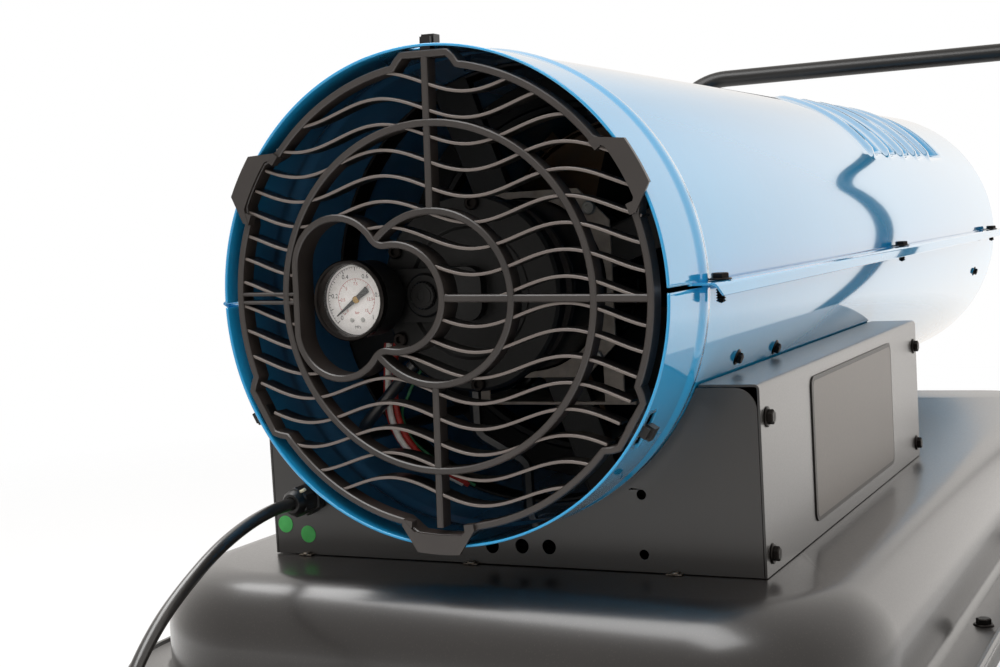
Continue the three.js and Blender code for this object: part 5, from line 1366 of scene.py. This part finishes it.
# cabinet
cabinet = Sizes({
    "half": 175.8, "front": 74.0, "back": 535.0, "top": -61.0, "bottom": -177.5, "sheet": 1.5,
    "corner": 14.0,
    "holes": ((-7, -165.6, 4.7), (14.4, -164.7, 4.7), (33.5, -164.5, 4.7), (98, -129, 3.1),
              (98, -166.5, 3.1)),
    "gland": (-143.7, -137.5, 7.4), "screwInset": 13.0, "screwHeights": (-82.0, -165.0),
    "discs": ((-166.8, -157.1), (-148.6, -163.4)), "discRadius": 5.9, "tabs": (-150, -22, 118),
    "labelFront": 188.0, "labelBack": 430.0, "labelTop": -70.0, "labelBottom": -167.0,
})


def cabinetOutline():
    c = cabinet
    half, top = c.half - c.sheet - 0.3, c.top - c.sheet - 0.3
    clear = shell.radius + 0.3
    meet = sqrt(clear ** 2 - top ** 2)
    a = degrees(atan2(top, meet))
    return ([(-half, c.bottom), (half, c.bottom)] + arc((half - c.corner, top - c.corner), c.corner, 0,
            90, 8) + arc((0, 0), clear, a, -180 - a, 72) + arc((-half + c.corner, top - c.corner),
            c.corner, 90, 180, 8))


def makeCabinet():
    c = cabinet
    box = Shape("coat")
    holes = [circleAt(x, z, r) for x, z, r in c.holes] + [circleAt(*c.gland)]
    box.plate(cabinetOutline(), holes, c.front, c.front + c.sheet)
    box.plate(cabinetOutline(), [], c.back - c.sheet, c.back)
    inner = c.half - c.sheet - 0.3
    box.box((-inner, c.front + 0.5, c.bottom), (inner, c.back - 0.5, c.bottom + c.sheet))
    for side in (-1, 1):
        for y in (c.front + c.sheet, c.back - c.sheet - 16):
            x = side * (inner - c.sheet / 2)
            box.box((x - 0.7, y, c.bottom + 2), (x + 0.7, y + 16, c.top - 20))
    showPiece(box, "cabinetFrame", node="cabinet_frame", bevel=0.5, angle=35)
    for side, name in ((1, "right"), (-1, "left")):
        outer = c.half
        reach = sqrt((shell.radius + 0.3) ** 2 - c.top ** 2) + 1
        bend = 3.2
        fold = (arc((outer - bend, c.top - bend), bend, 0, 90, 6)
                + [(reach, c.top), (reach, c.top - c.sheet)] + arc((outer - bend, c.top - bend), bend
                - c.sheet, 90, 0, 6))
        if side > 0:
            cover = Shape("coat").plate([(outer - c.sheet, c.bottom), (outer, c.bottom)] + fold, [],
                    c.front, c.back)
        else:
            cover = leftCover(bend, fold)
        showPiece(cover, "cover_" + name, node="cover_" + name, bevel=0.35, angle=50)
    places = []
    for side in (-1, 1):
        for y in (c.front + c.screwInset, c.back - c.screwInset):
            places += [((side * (c.half + 0.1), y, z), (side, 0, 0)) for z in c.screwHeights]
    showPiece(scattered("coverScrews", hexScrew(4.6, 4.6), places, "screw"), "coverScrews")
    label = Shape("plateEdge")
    outline = roundBox(c.labelFront, c.labelBack, c.labelBottom, c.labelTop, 7)
    face = c.half + 0.3
    label.plate(outline, [], face, face + 0.7, across="X")
    inside = roundBox(c.labelFront + 3, c.labelBack - 3, c.labelBottom + 3, c.labelTop - 3, 5)
    label.using("plate").plate(inside, [], face + 0.6, face + 0.8, across="X")
    showPiece(label, "ratingPlate", node="label_plate")
    discs = Shape("sticker")
    for x, z in c.discs:
        discs.rod(c.discRadius, (x, c.front + 0.02, z), (x, c.front - 0.35, z), 48, 0.1)
    showPiece(discs, "greenDiscs")
    tabs = Shape("zinc")
    for x in c.tabs:
        tabs.box((x - 5, c.front - 4, c.bottom - 0.2), (x + 5, c.front + 1, c.bottom + 0.6))
        tabs.rod(2.6, (x, c.front - 2, c.bottom), (x, c.front - 2, c.bottom + 1.8), 16, 0.4)
    showPiece(tabs, "footTabs", bevel=0.15)
    print("cabinet made")


def leftCover(bend, fold):
    # the side with the controls: a wall with holes and a folded top
    c = cabinet
    cover = Shape("coat")
    wall = [(c.front, c.bottom), (c.back, c.bottom), (c.back, c.top - bend), (c.front, c.top - bend)]
    k = control
    holes = [circleAt(k.knobY, k.z, 3.4), [(k.switchY + a, k.z + b) for a,
            b in ((-10.4, -13.9), (10.4, -13.9), (10.4, 13.9), (-10.4, 13.9))],
            roundBox(k.displayY - 20, k.displayY + 20, k.z - 12, k.z + 12, 2)]
    cover.plate(wall, holes, -c.half, c.sheet - c.half, across="X")
    return cover.plate([(-x, z) for x, z in fold], [], c.front, c.back)


# controls
control = Sizes({
    "z": -112.0, "knobY": 190.0, "knobRadius": 17.0, "switchY": 262.0, "displayY": 330.0, "face": -175.8,
    "teeth": 144, "marks": 11, "markRadius": 21,
})


def makeControls():
    k = control
    x, z = k.face, k.z
    knob = Shape("plastic")
    knob.loft(ribbed([(1.3, 0.0), (9.0, 0.6), (16.4, 1.2), (17.6, 2.0), (18.0, 3.4)], k.teeth, lambda i,
            h, shrink: k.knobRadius - shrink - (0.7 if i % 6 < 3 and h < 17 else 0), lambda h, r,
            a: (x - h, k.knobY + r * cos(a), z + r * sin(a))))
    knob.rod(3.0, (x - 2, k.knobY, z), (x + 12, k.knobY, z), 24)
    knob.using("dial").box((x - 18.3, k.knobY - 0.9, z + 3), (x - 17.9, k.knobY + 0.9, z + 13))
    showPiece(knob, "thermostatKnob", body="knob", node="thermostat_knob")
    scale = Shape("dial")
    for i in range(k.marks):
        a = radians(90 - 27 * i)
        middle = (x - 0.15, k.knobY - k.markRadius * cos(a), z + k.markRadius * sin(a))
        piece = Shape("dial").box((-0.15, -0.4, -1.6), (0.15, 0.4, 1.6))
        turn = Matrix.Rotation(pi / 2 - a, 4, "X")
        scale.joined(piece, Matrix.Translation(middle) @ turn)
    showPiece(scale, "knobScale")
    housing = Shape("plastic")
    y = k.switchY
    rim = roundBox(y - 12.5, y + 12.5, z - 16, z + 16, 3)
    well = roundBox(y - 8, y + 8, z - 11.5, z + 11.5, 0.8)
    housing.plate(rim, [well], x - 2.5, x - 0.3, across="X")
    housing.plate(roundBox(y - 10, y + 10, z - 13.5, z + 13.5, 0.8), [well], x - 0.3, x + 11, across="X")
    housing.box((x + 11, y - 10, z - 13.5), (x + 13, y + 10, z + 13.5))
    showPiece(housing, "switchHousing", node="switch_housing", bevel=0.4)
    rocker = Shape("plastic")
    front = [(-7.5, -9.2)] + [(-7.5 + 5.9 * t + 1.4 * sin(pi * t), -9.2 + 9.4 * t)
            for t in (0.2, 0.4, 0.6, 0.8)]
    side = front + [(-1.8, 0), (-3.4, 9.2), (6, 8), (6, -8)]
    rocker.plate([(x + 3 + a, z + b) for a, b in side], [], y - 7.7, y + 7.7)
    rocker.using("dial").box((x - 0.75, y - 0.6, z + 3), (x - 0.35, y + 0.6, z + 7))
    showPiece(rocker, "powerSwitch", body="rocker", node="power_switch", bevel=0.3)
    window = Shape("display").plate(roundBox(k.displayY - 19.6, k.displayY + 19.6, z - 11.6, z + 11.6,
            2), [], x + 0.4, x + 1.9, across="X")
    showPiece(window, "displayWindow", bevel=0.2)
    coatNode("control_board", "board")
    coatNode("ignition_transformer", "cast")
    print("controls made")


makeCabinet()
makeControls()

# cable gland, plug and tie
gland = Sizes({
    "x": -143.7, "z": -137.5, "face": 74.0,
})


def makeGland():
    g = gland
    x, z, face = g.x, g.z, g.face
    piece = Shape("plastic")
    for y0, y1, r in ((face - 7.5, face - 0.3, 11.8), (face - 21, face - 10, 10.4)):
        rings = []
        for y, shrink in ((y0, 1.0), (y0 + 1.0, 0), (y1 - 0.6, 0), (y1, 0.6)):
            rings.append([(x + (r - shrink) * cos(radians(60 * k + 30)), y, z
                    + (r - shrink) * sin(radians(60 * k + 30))) for k in range(6)])
        piece.loft(rings)
    piece.turned([(4.35, face - 26), (6.4, face - 26), (8.4, face - 23), (9.2, face - 20),
            (9.4, face - 7), (7.1, face - 6), (7.1, face + 2), (10, face + 2), (10, face + 6.5),
            (4.35, face + 6.5)], 48, (x, 0, z))
    showPiece(piece, "cableGland", node="cable_gland", bevel=0.3)
    clip = Shape("tag").rod(1.1, (x + 6, face - 22, z + 8), (x + 11, face - 24, z + 10), 12, 0.2)
    showPiece(clip, "glandTag")


makeGland()
coatNode("mains_plug", "plastic")
coatNode("cord_tie", "plastic")

# tank
tank = Sizes({
    "half": 252.0, "front": -18.0, "back": 1032.0, "corner": 100.0, "rollTop": 42.0, "rollLow": 36.0,
    "wall": 2.0,
    "seam": -250.0,
    "depth": 72.0, "flange": 31.0, "plate": 1.5, "filler": (-168.0, 740.0, 28.0),
    "level": (-168.0, 860.0, 12.0),
    "drain": (150.0, 70.0),
})


def tankRing(out, z, steps=14):
    t = tank
    radius = max(t.corner + out, 2)
    return [(x, y, z) for x, y in roundBox(-t.half - out, t.half + out, t.front - out, t.back + out,
            radius, steps)]


def tankHalf(upper):
    t = tank
    sign = 1 if upper else -1
    base = t.seam if upper else t.seam - t.plate - 0.3
    roll = t.rollTop if upper else t.rollLow
    far = t.seam + sign * t.depth
    profile = []
    if upper:
        profile += [(t.flange, base - 1.2), (t.flange + 0.4, base + 1.6), (t.flange - 0.8, base + 3.2),
                (t.flange - 3.0, base + 3.0), (t.flange - 4.4, base + 0.8), (t.flange - 7, base)]
    else:
        profile += [(t.flange, base), (t.flange - 4, base)]
    profile += [(16, base), (7, base + sign * 0.3), (3.2, base + sign * 1.6), (1.0, base + sign * 4.4),
            (0.2, base + sign * 8)]
    for k in range(11):
        a = pi / 2 * k / 10
        profile.append((-roll * (1 - cos(a)), far - sign * roll * (1 - sin(a))))
    piece = Shape("tank")
    rings = [tankRing(out, z) for out, z in profile]
    piece.loft(rings, caps=False)
    outline = [(x, y) for x, y, z in rings[-1]]
    loops = [outline] + ([circleAt(*t.filler, 40), circleAt(*t.level, 32)] if upper
            else [circleAt(*t.drain, 8.1, 32)])
    flat = [p for loop in loops for p in loop]
    start = len(piece.points)
    piece.points.extend(Vector((x, y, far)) for x, y in flat)
    for triangle in tessellate_polygon([[Vector((x, y, 0)) for x, y in loop] for loop in loops]):
        piece.face([start + i for i in triangle])
    return piece


def capRadius(k, height, shrink):
    dip = max(0.0, cos(6 * (2 * pi * k / 180) + pi)) ** 2 * 3.2
    return 34 - shrink - dip - (0.35 if k % 3 == 0 and height < 20 else 0)


def makeTank():
    t = tank
    for upper, name, node in ((True, "tankUpper", "tank_upper"), (False, "tankLower", "tank_lower")):
        showPiece(tankHalf(upper), name, node=node, wall=1.4, angle=35)
    top = t.seam + t.depth
    x, y, r = t.filler
    neck = Shape("tank").turned([(r - 2, top - 6), (r, top - 6), (r, top + 12.5), (r + 1.2, top + 13.4),
            (r, top + 14), (r - 2, top + 14)], 64, (x, y, 0), "Z")
    neck.turned([(3, top - 1), (9, top - 1), (9, top + 1.5), (7, top + 2.5), (7, top + 12),
            (3, top + 12)], 32, (0, 600, 0), "Z")
    showPiece(neck, "fillerNeck", angle=35)
    cap = Shape("plastic")
    foot = top + 3
    cap.loft(ribbed([(0, 0.6), (1, 0), (19, 0.4), (22, 1.6), (24, 4.2)], 180, capRadius, lambda h, r,
            a: (x + r * cos(a), y + r * sin(a), foot + h)))
    cap.turned([(8, foot + 23.8), (24, foot + 23.8), (25.4, foot + 25), (23.6, foot + 25.6),
            (8, foot + 25)], 64, (x, y, 0), "Z", loop=True)
    showPiece(cap, "fuelCap", body="cap", node="fuel_cap", angle=35)
    gx, gy, _ = t.level
    base = top + 0.3
    level = Shape("plastic")
    level.turned([(0.01, base - 13), (11.5, base - 13), (11.5, base), (22, base), (22, base + 8.5),
            (20, base + 11), (18, base + 11), (17.6, base + 8.6), (0.01, base + 8.6)], 64, (gx, gy, 0),
            "Z", loop=False)
    level.using("dial").turned([(0.01, base + 8.7), (17.4, base + 8.7), (17.4, base + 8.9),
            (0.01, base + 8.9)], 64, (gx, gy, 0), "Z", loop=False)
    level.using("red").box((gx - 0.6, gy - 2, base + 8.9), (gx + 0.6, gy + 13, base + 9.4))
    level.using("black").rod(2, (gx, gy, base + 8.8), (gx, gy, base + 10), 24, 0.2)
    showPiece(level, "fuelLevelGauge", node="fuel_level_gauge", angle=35)
    coatNode("drain_plug", "zinc")
    print("tank made")


makeTank()

# frame, handle and wheels
carriage = Sizes({
    "x": 268.0, "tube": 12.5, "frameZ": -266.1, "legY": 950.0, "legZ": -439.0, "bendY": 850.0,
    "riseY": 190.0,
    "bend": 60.0,
    "handleTube": 11.0, "footFront": 765.0, "footBack": 905.0, "barY": 1245.0, "barZ": 222.0,
    "handleLow": -238.7,
    "wheelY": 70.0, "wheelZ": -365.0, "tyre": 90.0, "groove": 87.6, "tyreInner": 66.3, "wheelInner": 289.0,
    "wheelWidth": 40.0,
    "footX": 150.0,
    "ribs": 10, "tankBolts": (266, 560),
})


def bothSides(points):
    return list(points) + [(-x, y, z) for x, y, z in reversed(points)]


def makeCarriage():
    c = carriage
    rise = Vector((0, c.riseY - c.wheelY, c.frameZ - c.wheelZ))
    start = Vector((c.x, c.wheelY, c.wheelZ)) - rise.normalized() * 20
    frameLine = bothSides([tuple(start), (c.x, c.riseY, c.frameZ), (c.x, c.bendY, c.frameZ),
            (c.x, c.legY, c.legZ)])
    showPiece(tubeRun("wheelFrame", frameLine, c.tube, c.bend, "tube", 32), "wheelFrame",
            node="wheel_frame", angle=50)
    handleLine = bothSides([(c.x, c.footFront, c.handleLow), (c.x, c.footBack, c.handleLow),
            (c.x, c.barY, c.barZ)])
    showPiece(tubeRun("handle", handleLine, c.handleTube, c.bend, "tube", 32), "handle", node="handle",
            angle=50)
    for side, name in ((-1, "left"), (1, "right")):
        x = side * c.footX
        foot = Shape("tyre").turned([(13.3, x - 23), (14.8, x - 23), (16, x - 21.5), (16, x + 21.5),
                (14.8, x + 23), (13.3, x + 23)], 48, (0, c.legY, c.legZ), "X")
        showPiece(foot, "foot_" + name, node="foot_" + name, angle=35)
        makeWheel(side, name)
    reach = c.wheelInner + c.wheelWidth + 0.3
    axle = Shape("zinc").turned([(0.01, -reach - 7), (8, -reach - 7), (11.4, -reach - 4.5),
            (12, -reach), (7, -reach), (7, reach), (12, reach), (11.4, reach + 4.5), (8, reach + 7),
            (0.01, reach + 7)], 48, (0, c.wheelY, c.wheelZ), "X", loop=False)
    showPiece(axle, "axle", node="axle", angle=35)
    places = []
    for side in (-1, 1):
        x = side * c.x
        places += [((x, y, c.handleLow + c.handleTube), (0, 0, 1))
                for y in (c.footFront + 18, c.footBack - 40)]
        places += [((x, y, tank.seam + 0.1), (0, 0, 1)) for y in c.tankBolts]
        places += [((x * 0.52, tank.back + 15, tank.seam + 0.1), (0, 0, 1)),
                ((x * 0.84, tank.front - 6, tank.seam + 0.1), (0, 0, 1))]
    showPiece(scattered("flangeBolts", hexScrew(5.2, 4.8), places, "screw"), "flangeBolts")
    print("carriage made")


def makeWheel(side, name):
    c = carriage
    a, b = c.wheelInner, c.wheelInner + c.wheelWidth
    centre = (0, c.wheelY, c.wheelZ)

    def mirrored(profile):
        return [(r, side * h) for r, h in profile]
    seat = c.tyreInner
    groove = [(c.tyre, a + 8), (c.tyre, a + 13), (c.groove, a + 13.8), (c.groove, a + 15.2),
            (c.tyre, a + 16), (c.tyre, a + 24), (c.groove, a + 24.8), (c.groove, a + 26.2),
            (c.tyre, a + 27), (c.tyre, a + 32)]
    tyre = Shape("tyre").turned(mirrored([(seat, a + 4), (seat + 6, a + 1.6), (78, a + 0.4),
            (84, a + 1.6), (88, a + 4.4)] + groove + [(88, b - 4.4), (84, b - 1.6), (78, b - 0.4),
            (seat + 6, b - 1.6), (seat, b - 4)]), 96, centre, "X")
    showPiece(tyre, "tyre_" + name, body="wheel_" + name, node="tyre_" + name, angle=35)
    middle = (a + b) / 2
    rim = Shape("plastic").turned(mirrored([(7.3, a), (15, a), (17, a + 1.5), (18, middle - 3),
            (56, middle - 3), (59, middle - 5), (61, a + 6), (63, a + 4), (seat - 0.3, a + 4),
            (seat - 0.3, b - 4), (63, b - 4), (61, b - 6), (59, middle + 5), (56, middle + 3),
            (18, middle + 3), (17, b - 1.5), (15, b), (7.3, b)]), 96, centre, "X")
    showPiece(rim, "wheel_" + name, body="wheel_" + name, node="wheel_" + name,
            angle=35)
    spoke = Shape("plastic")
    for low, high in ((middle + 2.5, b - 6), (a + 6, middle - 2.5)):
        h0, h1 = sorted((side * low, side * high))
        spoke.loft([[(h0, 16.5, -1.6), (h1, 16.5, -1.6), (h1, 16.5, 1.6), (h0, 16.5, 1.6)],
                [(h0, 59.5, -1.6), (h1, 59.5, -1.6), (h1, 59.5, 1.6), (h0, 59.5, 1.6)]])
    ribs = around("wheelRibs_" + name, spoke, c.ribs, "plastic", axis="X", centre=centre)
    showPiece(ribs, "wheelRibs_" + name, body="wheel_" + name)


makeCarriage()

# floor and light
light = Sizes({
    "front": 0.56, "back": 0.9, "above": 0.05, "patch": 0.42, "patchX": 0.5, "patchY": 0.86,
    "floorSize": 3.2,
    "fadeFrom": 1.2, "fadeTo": 2.6, "floorGlow": 0.7,
    "softSpot": (-0.5, -0.85, 2.1), "softAim": (-0.2, -0.6, 0.3), "softSize": (3.0, 0.9), "softPower": 40,
})


def areaLight(name, spot, aim, size, power):
    data = bpy.data.lights.new(name, "AREA")
    data.shape = "RECTANGLE"
    data.size, data.size_y = size
    data.energy = power
    lamp = linked(name, data)
    lamp.location = spot
    lamp.rotation_euler = (Vector(aim) - Vector(spot)).to_track_quat("-Z", "Y").to_euler()


def makeStage():
    size = light.floorSize
    data = bpy.data.meshes.new("floor")
    data.from_pydata([(-size, -size, 0), (size, -size, 0), (size, size, 0), (-size, size, 0)], [],
            [(0, 1, 2, 3)])
    f = Finish("floorPaper")
    place = f.surface
    distance = f.add("ShaderNodeVectorMath", {"operation": "LENGTH"}, {0: place}, out="Value")
    fade = f.spread(distance, light.fadeFrom, light.fadeTo, 1.0, 0.0)
    grain = f.noise(300, 2)
    paper = f.add("ShaderNodeBsdfPrincipled", {}, {"Base Color": f.mixed(grain * 0.1, "f4f4f4",
            "e9e9e9"), "Roughness": 0.7, "Alpha": fade, "Normal": f.bumped(grain, 0.05, 0.0005)})
    white = f.add("ShaderNodeEmission", {}, {"Color": (1, 1, 1, 1), "Strength": 1.0})
    seen = f.add("ShaderNodeLightPath", out="Is Camera Ray")
    both = f.add("ShaderNodeMixShader", {}, {0: seen * light.floorGlow, 1: paper, 2: white})
    f.add("ShaderNodeOutputMaterial", {}, {"Surface": both})
    data.materials.append(f.material)
    linked("floor", data)
    world = bpy.data.worlds.new("studio")
    bpy.context.scene.world = world
    world.use_nodes = True
    sky = Graph(world.node_tree)
    sky.tree.nodes.clear()
    rays = sky.add("ShaderNodeLightPath", out="Is Camera Ray")
    direction = sky.add("ShaderNodeTexCoord", out="Generated")
    across, ahead, height = (sky.add("ShaderNodeSeparateXYZ", {}, {0: direction}, out=k) for k in range(3))

    def blend(value, low, high, start, end):
        return sky.add("ShaderNodeMapRange", {"clamp": True, "interpolation_type": "SMOOTHSTEP"},
                {"Value": value, "From Min": low, "From Max": high, "To Min": start, "To Max": end})
    toPatch = across * light.patchX + ahead * light.patchY
    glow = (blend(ahead, -0.35, 0.55, light.front, light.back) + blend(height, 0.2, 0.9, 0.0,
            light.above) + blend(toPatch, 0.72, 0.95, 0.0, light.patch))
    white = sky.add("ShaderNodeBackground", {}, {"Color": (1, 1, 1, 1), "Strength": 1.0})
    warm = sky.add("ShaderNodeBackground", {}, {"Color": (1.0, 0.965, 0.925, 1), "Strength": glow})
    both = sky.add("ShaderNodeMixShader", {}, {0: rays, 1: warm, 2: white})
    sky.add("ShaderNodeOutputWorld", {}, {"Surface": both})
    areaLight("topSoftbox", light.softSpot, light.softAim, light.softSize, light.softPower)


makeStage()
bpy.context.scene.view_settings.view_transform = "Standard"


print("scene made")
